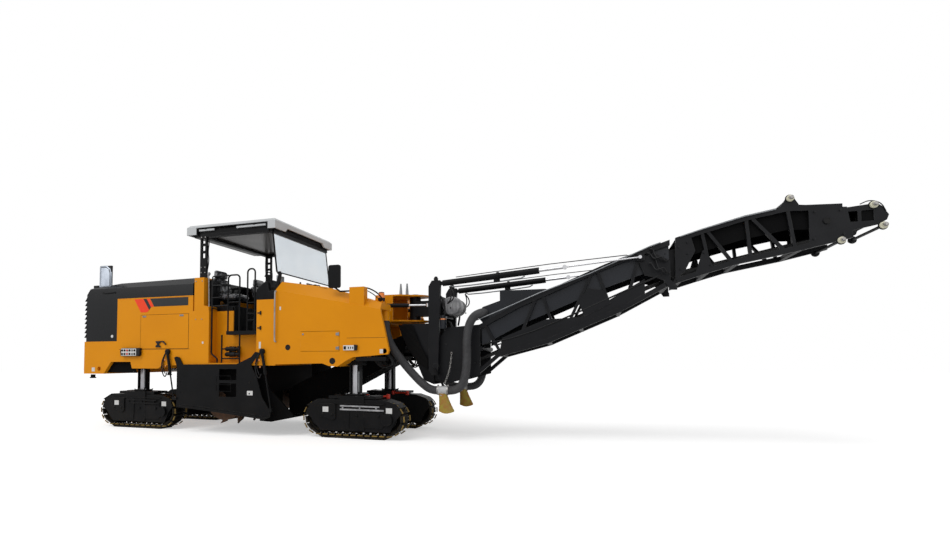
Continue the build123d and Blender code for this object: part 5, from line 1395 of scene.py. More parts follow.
# ---------------------------------------------------------------- front body
@dataclass
class FrontBody(Assembly):
    """Hatch hinges, switch plate, ringed holes, beacon, horns and the mirror pane."""

    def build(self) -> None:
        """Add the pieces on the front body and its hatches."""
        for body, side in (("hatch_right", 1.0), ("hatch_left", -1.0)):
            self._hatch(body, side)
        self._panel()
        self._beacon()
        self._mirrors()
        self._nose()

    def _hatch(self, body: str, side: float) -> None:
        """Hinge plates at the front edge and the lock at the rear of one hatch.

        Args:
            body: the hatch's body.
            side: 1 on the right, -1 on the left.
        """
        y = side * self.side_y
        out = y - side * 0.008
        plates = self.piece(f"{body}_hinges", "fitting_grey", body=body, bevel=0.002)
        for z in (1.795, 1.555):
            plates.box((-0.205, -0.15), sorted((y, out)), (z - 0.024, z + 0.024))
            plates.rod((-0.148, out, z - 0.03), (-0.148, out, z + 0.03), 0.008)
        plates.lathe((-0.84, y, 1.8), (0, -side, 0), [(0, 0.018), (0.006, 0.018), (0.007, 0.01),
            (0.01, 0.0)], sides=18)

    def _panel(self) -> None:
        """Holes' dark rings with painted shade in their middles, the switch plate, bare plates and
        side seams.
        """
        ring = self.pair("side_hole_rings_shade", "seam_dark_and_bore_shade")
        # each ring is a dark grommet whose middle disc is painted shade inside the hole
        for x, z, radius in ((-1.14, 1.575, 0.05), (-0.27, 1.335, 0.055)):
            ring.lathe((x, self.side_y, z), OUT, [(0, radius), (0.004, radius),
                (0.004, radius * 0.72), (0.001, radius * 0.7), (0.001, 0)])
        self.pair("switch_plates", "plate_white", bevel=0.004).box((-0.055, 0.15),
            self.proud(0.03), (1.515, 1.6))
        keys = self.pair("switch_keys", "cable_black", bevel=0.002).box((-0.045, 0.0),
            self.proud(0.033, 0.029), (1.53, 1.585))
        for x in (0.035, 0.075, 0.115):
            keys.box((x, x + 0.018), self.proud(0.033, 0.029), (1.54, 1.575))
        keys.prism([(0.151, 1.51), (0.195, 1.515), (0.205, 1.6), (0.151, 1.61)], self.proud(0.042))
        blank = self.pair("front_blank_plates", "plate_white").box((0.6, 0.66), self.proud(0.003),
            (1.46, 1.53))
        blank.box((-1.315, -1.285), self.proud(0.003), (2.24, 2.3))
        seam = self.pair("front_seams", "seam_dark_and_bore_shade")
        seam.box((0.0, 0.7), self.proud(0.002), (1.722, 1.726))

    def _beacon(self) -> None:
        """Amber lamp with ribs, its cup and the horns."""
        self.piece("beacon_lens", "lamp_amber").lathe((0.48, -0.86, 2.425), UP, [(0, 0.056),
            (0.012, 0.057), (0.02, 0.053), (0.034, 0.056), (0.044, 0.052), (0.058, 0.055),
            (0.068, 0.05), (0.082, 0.052), (0.1, 0.04), (0.108, 0.02), (0.11, 0)])
        self.piece("beacon_cup", "cable_black").lathe((0.48, -0.86, 2.36), UP, [(0, 0.05),
            (0.02, 0.062), (0.066, 0.062), (0.066, 0)])
        horns = self.piece("signal_horns", "fitting_grey", body="conveyor_support")
        for x in (0.64, 0.76):
            horns.lathe((x, -0.3, 2.535), UP, [(0, 0.028), (0.06, 0.026), (0.16, 0.016),
                (0.2, 0.014), (0.2, 0)], sides=16)

    def _mirrors(self) -> None:
        """Pane of the right-hand mirror and the lamp's cables."""
        # the pane's pale blue tint is a painted sky reflection
        self.piece("front_mirror_panes", "silver_sky_tint").prism([(-0.345, 2.62), (-0.15, 2.62),
            (-0.145, 2.64), (-0.145, 2.95), (-0.16, 2.97), (-0.335, 2.97), (-0.35, 2.95),
            (-0.35, 2.64)], (-1.2025, -1.1995))
        cable = self.piece("lamp_cables", "cable_black").tube([(0.02, -1.1, 2.52),
            (0.1, -1.09, 2.6), (0.28, -1.06, 2.6), (0.44, -1.0, 2.52), (0.52, -0.95, 2.42),
            (0.55, -0.92, 2.36)], 0.012, smooth=2)
        cable.tube([(0.06, -1.12, 2.52), (0.12, -1.1, 2.57), (0.26, -1.08, 2.56),
            (0.4, -1.03, 2.48), (0.46, -0.99, 2.41)], 0.008, smooth=2)

    def _nose(self) -> None:
        """Cross members under the front, with short lines."""
        beam = self.pair("nose_beams", "frame_black", bevel=0.005).box((0.16, 0.7),
            (-1.235, -1.09), (1.335, 1.4))
        beam.box((0.12, 0.2), (-1.15, -0.8), (1.33, 1.4))
        rng = random.Random(11)
        lines = self.pair("nose_lines", "cable_black")
        for index in range(6):
            y = -0.56 - 0.08 * index
            fall = 0.1 + 0.07 * rng.random()
            lines.tube([(0.6, y, 1.46), (0.66 + 0.02 * index, y, 1.42 - fall),
                (0.52, y - 0.02, 1.34 - fall), (0.34, y, 1.42)], 0.013, smooth=2)


# ---------------------------------------------------------------- crawlers and legs
@dataclass(frozen=True)
class Corner:
    """One crawler: its name, its place and the way its motor end points."""

    name: str
    x: float
    side: int
    y: float = 0.857


@dataclass
class Crawler(Assembly):
    """Track shoe edges, frame box and rails, rollers, motor lines and leg of one corner."""

    corner: Corner = Corner("front_right", 0.0, -1)
    shoes: int = 32
    idler_x: float = 0.655
    idler_z: float = 0.345
    wrap: float = 0.262
    face: float = 0.185
    leg_span: Flat = (0.762, 1.83)

    def build(self) -> None:
        """Add one crawler's pieces."""
        self.body = f"crawler_body_{self.corner.name}"
        self._plates()
        self._frame()
        self._leg(f"leg_body_{self.corner.name}")

    def _at(self, x: float, y: float, z: float) -> Point:
        """Station of a point given from the leg's foot, y outwards."""
        return (self.corner.x + x, self.corner.side * (self.corner.y + y), z)

    def _span(self, low: float, high: float) -> Flat:
        """Width range for two distances outwards from the leg's axis."""
        first, last = (self.corner.side * (self.corner.y + value) for value in (low, high))
        return (min(first, last), max(first, last))

    def _run(self, low: float, high: float) -> Flat:
        """Range of stations for two distances ahead of the leg's axis."""
        return (self.corner.x + low, self.corner.x + high)

    def _side(self, points: Sequence[Flat]) -> list[Flat]:
        """Side view outline given from the leg's axis."""
        return [(self.corner.x + x, z) for x, z in points]

    def _path(self, share: float) -> tuple[float, float, float]:
        """Point and heading on the track's inner line at a share of its run.

        Args:
            share: share of the run, from 0 to 1.

        Returns:
            Distance ahead of the leg, height and heading.
        """
        flat = 2 * self.idler_x
        bend = math.pi * self.wrap
        run = (share % 1.0) * 2 * (flat + bend)
        if run < flat:
            return run - self.idler_x, self.idler_z - self.wrap, 0.0
        run -= flat
        if run < bend:
            turn = run / self.wrap
            return (self.idler_x + self.wrap * math.sin(turn),
                    self.idler_z - self.wrap * math.cos(turn), turn)
        run -= bend
        if run < flat:
            return self.idler_x - run, self.idler_z + self.wrap, math.pi
        turn = (run - flat) / self.wrap + math.pi
        return (-self.idler_x + self.wrap * math.sin(turn),
                self.idler_z - self.wrap * math.cos(turn), turn)

    def _plates(self) -> None:
        """Steel edges and bolts on every track shoe."""
        edges = self.piece(f"shoe_edges_{self.corner.name}", "shoe_edge", bevel=0.004)
        heads = self.piece(f"shoe_bolts_{self.corner.name}", "bolt_steel")
        outer = self.wrap + 0.0555
        for index in range(self.shoes):
            x, z, turn = self._path(index / self.shoes)
            along = Vector((math.cos(turn), 0, math.sin(turn)))
            out = Vector((math.sin(turn), 0, -math.cos(turn)))
            base = Vector((self.corner.x + x, 0, z)) + out * (outer - self.wrap - 0.03)
            for hand in (-1, 1):
                y = self.corner.side * (self.corner.y + hand * 0.155)
                low = base - along * 0.048
                high = base + along * 0.048
                edges.bar((low.x, y, low.z), (high.x, y, high.z), 0.022, 0.02)
                for step in (-0.026, 0.026):
                    spot = base + along * step - out * 0.014
                    y_bolt = self.corner.side * (self.corner.y + hand * 0.118)
                    tip = spot - out * 0.01
                    heads.rod((spot.x, y_bolt, spot.z), (tip.x, y_bolt, tip.z), 0.012, sides=6)

    def _frame(self) -> None:
        """Side box with bare plates, pale rails, idler hubs, rollers and motor lines."""
        name = self.corner.name
        face = self.face
        box = self.piece(f"frame_side_boxes_{name}", "frame_black", bevel=0.006)
        for points, depth in (
                (((-0.44, 0.335), (-0.36, 0.3), (-0.3, 0.34), (-0.3, 0.6), (-0.62, 0.6),
                  (-0.66, 0.52), (-0.6, 0.36)), 0.022),
                (((0.02, 0.19), (0.56, 0.19), (0.62, 0.25), (0.58, 0.46), (0.06, 0.46),
                  (0.0, 0.4)), 0.014),
                (((-0.12, 0.17), (-0.04, 0.17), (-0.03, 0.58), (-0.14, 0.6)), 0.03)):
            box.prism(self._side(points), self._span(face, face + depth))
        for x in (-0.55, -0.37, 0.1, 0.5):
            box.lathe(self._at(x, face + 0.014, 0.4), (0, self.corner.side, 0),
                cap(0.024, 0.018, 0.022, 0.016), sides=16)
        box.box(self._run(-0.34, 0.62), self._span(face - 0.05, face + 0.03), (0.595, 0.612))
        rails = self.piece(f"frame_rails_{name}", "wrap_grey" if name == "front_right"
            else "frame_black", bevel=0.004)
        rails.bar(self._at(-0.21, face + 0.022, 0.562), self._at(0.52, face + 0.022, 0.555), 0.02,
            0.024)
        rails.bar(self._at(-0.21, face + 0.026, 0.502), self._at(0.6, face + 0.026, 0.497), 0.02,
            0.028)
        for x in (-0.16, 0.16, 0.46):
            rails.rod(self._at(x, face, 0.53), self._at(x, face + 0.034, 0.53), 0.014)
        blank = self.piece(f"frame_blank_plates_{name}", "plate_white")
        for x in (-0.545, 0.63):
            blank.box(self._run(x, x + 0.11), self._span(face + 0.0225, face + 0.0245) if x < 0
                else self._span(face, face + 0.002), (0.45, 0.54))
        hub = self.piece(f"idler_hubs_{name}", "frame_black")
        for x in (-self.idler_x, self.idler_x):
            hub.lathe(self._at(x, 0.1, self.idler_z), (0, self.corner.side, 0), [(0, 0.15),
                (0.03, 0.15), (0.036, 0.12), (0.02, 0.11), (0.02, 0.07), (0.05, 0.065),
                (0.058, 0.045), (0.058, 0)], sides=36)
            for c, s in circle(10):
                where = self._at(x + 0.09 * c, 0.118, self.idler_z + 0.09 * s)
                hub.rod(where, (where[0], where[1] + self.corner.side * 0.012, where[2]), 0.011,
                    sides=6)
        # the roller box and rollers take the painted-shade black for the shade under the track
        roller = self.piece(f"track_rollers_{name}", "painted_shade_black")
        roller.box(self._run(-0.62, 0.62), self._span(-0.03, 0.03), (0.092, 0.2))
        for index in range(8):
            x = -0.6 + 0.171 * index
            roller.lathe(self._at(x, -0.12, 0.15), (0, self.corner.side, 0), [(0, 0.06),
                (0.04, 0.06), (0.045, 0.05), (0.195, 0.05), (0.2, 0.06), (0.24, 0.06),
                (0.24, 0.0)], sides=20)
        for x in (-self.idler_x, self.idler_x):
            roller.lathe(self._at(x, -0.072, self.idler_z), (0, self.corner.side, 0), [(0, 0.1),
                (0, 0.25), (0.02, 0.256), (0.124, 0.256), (0.144, 0.25), (0.144, 0.1), (0.144, 0)],
                sides=40)
        lines = self.piece(f"motor_lines_{name}", "cable_black")
        for index in range(3):
            y = -0.05 + 0.045 * index
            lines.tube([self._at(-0.46, y, 0.66), self._at(-0.41, y, 0.72),
                self._at(-0.33, y * 1.3, 0.735), self._at(-0.26, y * 1.2, 0.715),
                self._at(-0.22, y, 0.66)], 0.014, smooth=2)

    def _leg(self, body: str) -> None:
        """Chromed rod, dark guide bars on a round flange that also paint the rod's shaded edges,
        depth scale and foot bolts.

        Args:
            body: the leg's body.
        """
        name = self.corner.name
        low, high = self.leg_span
        self.piece(f"leg_rods_{name}", "leg_grey", body=body, slot="chrome_rod",
            stands_for=f"leg_{name}").lathe(self._at(0, 0, low), UP, [(0, 0.0665),
            (high - low, 0.0665), (high - low, 0)], sides=48)
        edge_shade_guides = self.piece(f"leg_edge_shade_guides_{name}", "frame_black", body=body, bevel=0.003,
            stands_for=f"leg_{name}")
        # the dark bars at the rod's front and rear edges stand for guides and also paint the rod's
        # shade there
        for x in (-0.086, 0.08):
            edge_shade_guides.box(self._run(x - 0.014, x + 0.014), self._span(-0.065, 0.065), (low, high))
        outline = [(0.17 * c, max(-0.12, min(0.12, 0.17 * s))) for c, s in circle(48)]
        rings = [[edge_shade_guides.mesh.verts.new(self._at(x, y, z)) for x, y in outline]
                 for z in (low - 0.028, low)]
        edge_shade_guides.skin(rings)
        strip = self.piece(f"leg_scales_{name}", "fitting_grey", body=body)
        strip.box(self._run(0.072, 0.09), self._span(0.0655, 0.067), (0.8, 1.15))
        bolts = self.piece(f"leg_foot_bolts_{name}", "fitting_grey", body=body)
        for x in (-0.14, 0.0, 0.14):
            for y in (-0.092, 0.092):
                foot = self._at(x, y, low)
                bolts.rod(foot, (foot[0], foot[1], foot[2] + 0.014), 0.014, sides=6)


@dataclass
class SteeringLinks(Assembly):
    """Red tie rods with ball ends beside the front tracks."""

    leg_y: float = 0.857

    def build(self) -> None:
        """Add a rod on each front crawler."""
        for side, name in ((-1, "front_right"), (1, "front_left")):
            inner = side * (self.leg_y - 0.2)
            link = self.piece(f"tie_rod_{name}", "link_red", body=f"crawler_body_{name}",
                bevel=0.003).tube([(0.16, inner, 0.7), (0.46, inner - side * 0.12, 0.705)], 0.018)
            link.rod((0.14, inner, 0.66), (0.14, inner, 0.74), 0.032)
            link.rod((0.48, inner - side * 0.128, 0.665), (0.48, inner - side * 0.128, 0.745),
                0.032)
            self.piece(f"tie_arm_{name}", "frame_black", body=f"crawler_body_{name}",
                bevel=0.005).bar((0.08, side * (self.leg_y - 0.1), 0.66), (0.2, inner, 0.66), 0.07,
                0.03)


# ---------------------------------------------------------------- milling gear
@dataclass
class MillingGear(Assembly):
    """Picks on the drum, side plate trim, painted-shade plates and the cylinders' hose tails."""

    drum_x: float = -2.65
    drum_z: float = 0.64
    picks: int = 84
    turn: float = math.radians(47)
    first_y: float = -0.974
    pitch: float = 1.948 / 83
    rim: float = 0.415

    def build(self) -> None:
        """Add the gear's pieces."""
        self._picks()
        for body, side in (("side_right", -1), ("side_left", 1)):
            self._side_plate(body, side)
        self._shade_plates()
        self._cylinders()

    def _picks(self) -> None:
        """Holder collars, pick shanks and carbide tips round the drum."""
        shanks = self.piece("pick_shanks", "drum_steel", body="drum")
        tips = self.piece("carbide_tips", "bolt_steel", body="drum")
        for index in range(self.picks):
            turn = index * self.turn
            y = self.first_y + index * self.pitch
            out = Vector((math.sin(turn), 0, math.cos(turn)))
            along = Vector((math.cos(turn), 0, -math.sin(turn)))
            heading = (along * 0.62 + out * 0.785).normalized()
            foot = Vector((self.drum_x, y, self.drum_z)) + out * (self.rim + 0.052) + along * 0.045
            shanks.rod(tuple(foot - heading * 0.03), tuple(foot + heading * 0.018), 0.019, 0.016,
                sides=10)
            tips.rod(tuple(foot + heading * 0.018), tuple(foot + heading * 0.046), 0.012, 0.003,
                sides=8)

    def _side_plate(self, body: str, side: int) -> None:
        """Bolt rows, wear strip, raised frame and the bare plate of one side plate.

        Args:
            body: the plate's body.
            side: -1 on the right, 1 on the left.
        """
        y = side * 1.287
        near, far = sorted((y, y + side * 0.006))
        trim = self.piece(f"{body}_trim", "frame_black", body=body, bevel=0.002)
        trim.prism([(-3.5, 0.53), (-3.18, 0.515), (-2.17, 0.42), (-1.6, 0.36), (-1.6, 0.315),
            (-2.17, 0.37), (-3.18, 0.465), (-3.5, 0.48)], (near, far))
        for x in (-2.62, -2.3):
            trim.box((x, x + 0.006), (near, far), (0.78, 1.06))
        for z in (0.78, 0.9, 1.06):
            trim.box((-2.62, -2.294), (near, far), (z, z + 0.006))
        bolts = self.piece(f"{body}_bolts", "frame_black", body=body)
        bolts.bolts([(-3.42 + 0.15 * i, y + side * 0.006, 0.512 - 0.0128 * i) for i in range(12)],
            (0, side, 0), 0.013)
        bolts.bolts([(x, y, z) for x in (-3.44, -1.9) for z in (0.75, 0.95)], (0, side, 0), 0.013)
        blank = self.piece(f"{body}_blank_plates", "plate_white", body=body)
        blank.box((-1.95, -1.83), sorted((y, y + side * 0.002)), (0.72, 0.8))

    def _shade_plates(self) -> None:
        """Painted shade: dark plates before the drum, left and right of the conveyor's mouth."""
        # painted shade: dark plates where the front under the body lies in shade
        shade_plate = self.pair("front_shade_plates", "painted_shade_black").box((-1.79, -1.775), (-1.03, -0.36),
            (0.3, 0.8))
        shade_plate.box((-1.775, -1.755), (-0.98, -0.42), (0.36, 0.4))

    def _cylinders(self) -> None:
        """Bronze collars, hose tails and heads at the side plates' cylinders."""
        collars, tails = self.pair("side_cylinder_collars", "copper_band"), self.pair(
            "side_cylinder_tails", "cable_black")
        hooks = self.pair("side_cylinder_heads", "frame_black", bevel=0.003)
        y = -1.292
        for x, z in ((-3.747, 1.516), (-1.644, 1.508)):
            collars.lathe((x - 0.05, y + 0.004, z - 0.16), OUT, cap(0.018, 0.012, 0.014, 0.012),
                sides=16)
            collars.lathe((x - 0.03, y + 0.002, z - 0.28), OUT, cap(0.015, 0.012, 0.014, 0.01),
                sides=16)
            tails.tube([(x - 0.01, y + 0.016, z + 0.02), (x - 0.08, y + 0.012, z - 0.06),
                (x - 0.15, y + 0.012, z - 0.22), (x - 0.13, y + 0.014, z - 0.4),
                (x - 0.06, y + 0.016, z - 0.5), (x - 0.02, y + 0.018, z - 0.4)], 0.011, smooth=2)
            tails.tube([(x - 0.02, y + 0.018, z), (x - 0.1, y + 0.014, z - 0.12),
                (x - 0.12, y + 0.016, z - 0.3), (x - 0.06, y + 0.018, z - 0.42)], 0.009, smooth=2)
            hooks.lathe((x, y + 0.03, z), OUT, [(0, 0.05), (0.044, 0.05), (0.05, 0.03),
                (0.056, 0.028), (0.056, 0)])


# ---------------------------------------------------------------- conveyor
@dataclass
class ConveyorSupport(Assembly):
    """Blower wrap, filter bowl, safety chain, knobs, lines, dust tees and hopper aprons."""

    body: str = "conveyor_support"

    def build(self) -> None:
        """Add the support's pieces."""
        wrap = self.piece("blower_wrap", "wrap_grey", bevel=0.004).lathe((1.59, -0.372, 2.3),
            (0, 1, 0), [(0.0, 0.0), (0.004, 0.1), (0.016, 0.145), (0.04, 0.16), (0.1, 0.168),
            (0.15, 0.162), (0.22, 0.17), (0.28, 0.164), (0.3, 0.155)], sides=40)
        for index in range(5):
            wrap.rod((1.5 + 0.045 * index, -0.374, 2.2), (1.5 + 0.045 * index, -0.374, 2.4), 0.01)
        bowl = self.piece("filter_bowl", "duct_slate").lathe((1.515, -0.615, 1.875), UP,
            [(0, 0.01), (0.01, 0.05), (0.1, 0.055), (0.17, 0.055), (0.2, 0.03), (0.24, 0.03),
            (0.24, 0)])
        bowl.box((1.47, 1.56), (-0.6, -0.5), (2.06, 2.1))
        self.piece("filter_bands", "copper_band").lathe((1.515, -0.615, 2.035), UP,
            collar(0.05, 0.06, 0.022))
        self.pair("ear_knobs", "cable_black").lathe((1.385, -0.59, 2.716), UP, [(0, 0.02),
            (0.012, 0.038), (0.045, 0.04), (0.05, 0.025), (0.065, 0.03), (0.075, 0.018),
            (0.078, 0)])
        self._chain()
        self._lines()
        self._tees()

    def _chain(self) -> None:
        """Links of the short safety chain in front of the post."""
        chain = self.pair("safety_chain", "bolt_steel")
        start, end = Vector((1.655, -0.6, 1.46)), Vector((1.52, -0.62, 0.9))
        count = 16
        for index in range(count):
            share = index / (count - 1)
            spot = start.lerp(end, share) + Vector((0.03 * math.sin(math.pi * share), 0, 0))
            lean = (0, 0.012, 0) if index % 2 else (0.012, 0, 0)
            ring = [(spot.x + lean[0] * math.cos(a), spot.y + lean[1] * math.cos(a),
                     spot.z + 0.024 * math.sin(a)) for a in
                    (math.tau * i / 10 for i in range(11))]
            chain.tube(ring, 0.0045, sides=6)

    def _lines(self) -> None:
        """Hydraulic lines that climb the post and hang at the slew cylinders."""
        lines = self.pair("post_lines", "cable_black")
        for index in range(4):
            y = -0.34 + 0.05 * index
            lines.tube(at_width(y, [(1.43, 1.7), (1.46, 1.86), (1.44, 2.02), (1.35, 2.1),
                (1.32, 2.28 + 0.03 * index)]), 0.012, smooth=2)
        for y in (-0.52, -0.57):
            lines.tube(at_width(y, [(1.3, 2.56), (1.4, 2.52), (1.5, 2.4), (1.54, 2.2),
                (1.5, 2.0)]), 0.011, smooth=2)

    def _tees(self) -> None:
        """Clamp bands of the dust tees and the soft boots under them."""
        clamps = self.pair("tee_clamps", "bolt_steel")
        for x in (1.462, 1.628):
            clamps.lathe((x - 0.009, -0.75, 0.84), AHEAD, collar(0.072, 0.079, 0.018), sides=28)
            clamps.box((x - 0.012, x + 0.012), (-0.765, -0.735), (0.915, 0.935))
        tee = self.pair("tee_pipes", "tee_grey", slot="tee_grey", stands_for="hose_tees").lathe(
            (1.45, -0.75, 0.84), AHEAD, [(0, 0.068), (0, 0.0745), (0.03, 0.0745), (0.036, 0.072),
            (0.154, 0.072), (0.16, 0.0745), (0.19, 0.0745), (0.19, 0.068)], sides=32)
        tee.lathe((1.54, -0.75, 0.84), (0, 0, -1), [(0, 0.06), (0.055, 0.06), (0.055, 0.066),
            (0.085, 0.066), (0.085, 0.0)], sides=32)
        strap = self.pair("tee_straps", "frame_black", bevel=0.003).prism([(1.345, 1.215),
            (1.375, 1.215), (1.555, 0.9), (1.525, 0.885)], (-0.688, -0.655))
        strap.box((1.49, 1.59), (-0.7, -0.66), (0.885, 0.915))
        boot = self.pair("tee_boots", "boot_rubber")
        rings = []
        for step in range(13):
            share = step / 12
            x = 1.54 + 0.065 * share
            z = 0.79 - 0.312 * share
            broad = 0.068 + 0.066 * share ** 1.3 + (0.0035 if step % 2 else 0.0)
            deep = 0.068 - 0.02 * share
            rings.append([boot.mesh.verts.new((
                x + broad * math.cos(math.tau * i / 32) * (1 + 0.05 * share * math.sin(5 * i)),
                -0.75 + deep * math.sin(math.tau * i / 32),
                z + 0.02 * share * math.cos(math.tau * i / 32 * 2))) for i in range(32)])
        boot.skin(rings)
        self.pair("hopper_aprons", "belt_rubber", bevel=0.003).prism([(0.705, 1.96), (0.76, 1.8),
            (0.85, 1.6), (0.96, 1.43), (1.09, 1.29), (1.24, 1.18), (1.24, 1.35), (1.1, 1.62),
            (0.95, 1.97)], (-0.616, -0.606))


@dataclass
class Boom(Assembly):
    """Trim of the main boom: bolts, pipes and ropes of the lift cylinders, cable runs."""

    body: str = "boom"

    def build(self) -> None:
        """Add the boom's pieces."""
        self._gussets()
        self._cylinders()
        self._cables()

    def _gussets(self) -> None:
        """Bolt heads on the side plates."""
        y = -0.575
        bolts = self.pair("boom_bolts", "boom_black")
        places = [(1.3, 2.25), (1.36, 2.05), (1.5, 2.4), (1.64, 2.24), (1.35, 1.3),
                  (1.55, 1.62), (1.95, 1.8), (2.05, 1.3), (4.92, 2.72), (4.98, 2.95)]
        bolts.bolts([(x, y, z) for x, z in places], OUT, 0.014, 0.01)

    def _cylinders(self) -> None:
        """Silver pipe, clamps, ropes and hose tails along the lift cylinders."""
        foot, lug = Vector((1.4, -0.59, 2.66)), Vector((4.64, -0.59, 2.925))
        along = (lug - foot).normalized()
        pipe = self.pair("lift_pipes", "fitting_grey", body="boom_barrels")
        run = [foot + along * 0.24 + Vector((0, 0, -0.055)), foot + along * 0.32 + Vector(
            (0, 0, -0.095)), foot + along * 1.42 + Vector((0, 0, -0.095)), foot + along * 1.5
            + Vector((0, 0, -0.06))]
        pipe.tube([tuple(point) for point in run], 0.011, smooth=1)
        clamps = self.pair("lift_clamps", "frame_black", body="boom_barrels", bevel=0.003)
        spot = foot + along * 1.06
        clamps.box((spot.x - 0.07, spot.x + 0.03), (-0.615, -0.565), (spot.z - 0.1, spot.z - 0.03))
        clamps.lathe(tuple(spot - along * 0.02), tuple(along), collar(0.0525, 0.068, 0.04),
            sides=28)
        rope = self.pair("lift_ropes", "cable_black", body="boom_rods")
        rope.tube([tuple(foot + along * 0.34 + Vector((0, 0, 0.078))),
            tuple(foot + along * 1.9 + Vector((0, 0, 0.082))), tuple(lug - along * 0.2 + Vector(
            (0, 0, 0.06))), tuple(lug - along * 0.12 + Vector((0, 0, 0.01)))], 0.007)
        tails = self.pair("lift_tails", "cable_black", body="boom_barrels")
        for index, reach in enumerate((0.0, 0.05)):
            base = foot + along * 0.23
            tails.tube([(base.x, -0.6 + 0.02 * index, base.z - 0.07),
                (base.x + 0.03 + reach, -0.61, base.z - 0.18),
                (base.x + 0.02 + reach, -0.6, base.z - 0.3),
                (base.x - 0.05, -0.56, base.z - 0.36)], 0.011, smooth=2)

    def _cables(self) -> None:
        """Lines along the lower chord, the fold's splice plates and lines, and edge pipes that
        also paint the top chord's highlight.
        """
        cable = self.pair("boom_lines", "cable_black")
        for index in range(3):
            y = -0.5 + 0.03 * index
            cable.tube(at_width(y, [(2.2, 1.62), (2.8, 1.74), (3.6, 2.06), (4.4, 2.42),
                (4.95, 2.66)]), 0.011, smooth=1)
        self.pair("fold_splices", "frame_black").prism([(4.9, 2.62), (5.132, 2.62), (5.132, 3.05),
            (4.9, 2.98)], (-0.432, -0.424))
        tangle = self.pair("fold_lines", "cable_black")
        for index, (x, z, drop) in enumerate(((4.78, 2.98, 0.1), (4.82, 3.04, 0.16),
                                              (4.85, 2.9, 0.2), (4.8, 2.82, 0.12))):
            y = -0.56 - 0.012 * index
            tangle.tube([(x, y + 0.03, z), (x + 0.05, y - 0.02, z - drop),
                (x + 0.11, y - 0.03, z - drop * 0.7), (x + 0.16, y - 0.01, z - drop * 1.3),
                (x + 0.21, y + 0.03, z - drop * 1.1)], 0.011, smooth=2)
            tangle.rod((x, y + 0.03, z), (x - 0.04, y + 0.03, z + 0.01), 0.017)
        # a pale pipe along the top chord that also paints the chord's edge highlight
        self.pair("boom_edge_pipes_highlight", "fitting_grey").tube(at_width(-0.532, [(2.02, 2.0),
            (2.47, 2.175), (3.12, 2.445), (3.9, 2.72), (4.8, 3.1), (4.93, 3.14)]), 0.009)


@dataclass
class Tip(Assembly):
    """Folding tip's bolts, guide wheels, edge pipes that also paint a highlight, nose line and end
    plate.
    """

    body: str = "tip"
    wheels: tuple[Flat, ...] = ((6.63, 3.66), (7.6, 3.475), (7.7, 3.182), (7.22, 3.01))

    def build(self) -> None:
        """Add the tip's pieces."""
        y = -0.525
        self.pair("tip_bolts", "boom_black").bolts([(x, y - 0.001, z) for x, z in ((5.18, 3.06),
            (5.3, 3.12), (5.3, 2.95), (5.2, 2.72), (5.52, 2.95), (5.6, 2.76), (6.9, 3.05),
            (6.92, 3.44), (7.25, 3.1), (7.22, 3.44))], OUT, 0.014, 0.01)
        hubs = self.pair("wheel_hubs", "bolt_steel")
        for x, z in self.wheels:
            hubs.lathe((x, y - 0.055, z), OUT, [(0, 0.03), (0.012, 0.03), (0.016, 0.02),
                (0.028, 0.018), (0.028, 0)], sides=18)
        wheel, shaft = self.pair("tip_wheels", "roller_cream", slot="roller_cream",
            stands_for="tip_guide_wheels"), self.piece("tip_shafts", "boom_black",
            stands_for="tip_guide_wheels")
        for x, z in self.wheels:
            wheel.lathe((x, y + 0.018, z), OUT, [(0, 0.0), (0, 0.04), (0.004, 0.046),
                (0.012, 0.048), (0.018, 0.042), (0.022, 0.042), (0.028, 0.048), (0.036, 0.046),
                (0.04, 0.04), (0.04, 0.03), (0.034, 0.028), (0.034, 0)], sides=32)
            shaft.rod((x, -0.53, z), (x, 0.53, z), 0.021, sides=20)
        # a pale pipe along the top edge that also paints the edge highlight
        self.pair("tip_edge_pipes_highlight", "fitting_grey").tube(at_width(y - 0.012, [(5.2, 3.21),
            (5.5, 3.3), (6.06, 3.447), (6.45, 3.515)]), 0.009)
        # painted shade: a dark disc filling the bore
        self.pair("head_bore_shade", "seam_dark_and_bore_shade").lathe((7.06, y - 0.001, 3.3), OUT, [(0, 0.045),
            (0.004, 0.045), (0.004, 0.036), (0.001, 0.034), (0.001, 0)])
        self.pair("nose_lines_tip", "cable_black").tube([(7.45, -0.5, 3.5), (7.55, -0.52, 3.545),
            (7.68, -0.52, 3.5), (7.735, -0.51, 3.38)], 0.007, smooth=2)
        plate = self.piece("tip_end_plate", "fitting_grey", bevel=0.004).box((6.93, 7.1),
            (-0.4, 0.4), (3.515, 3.53))


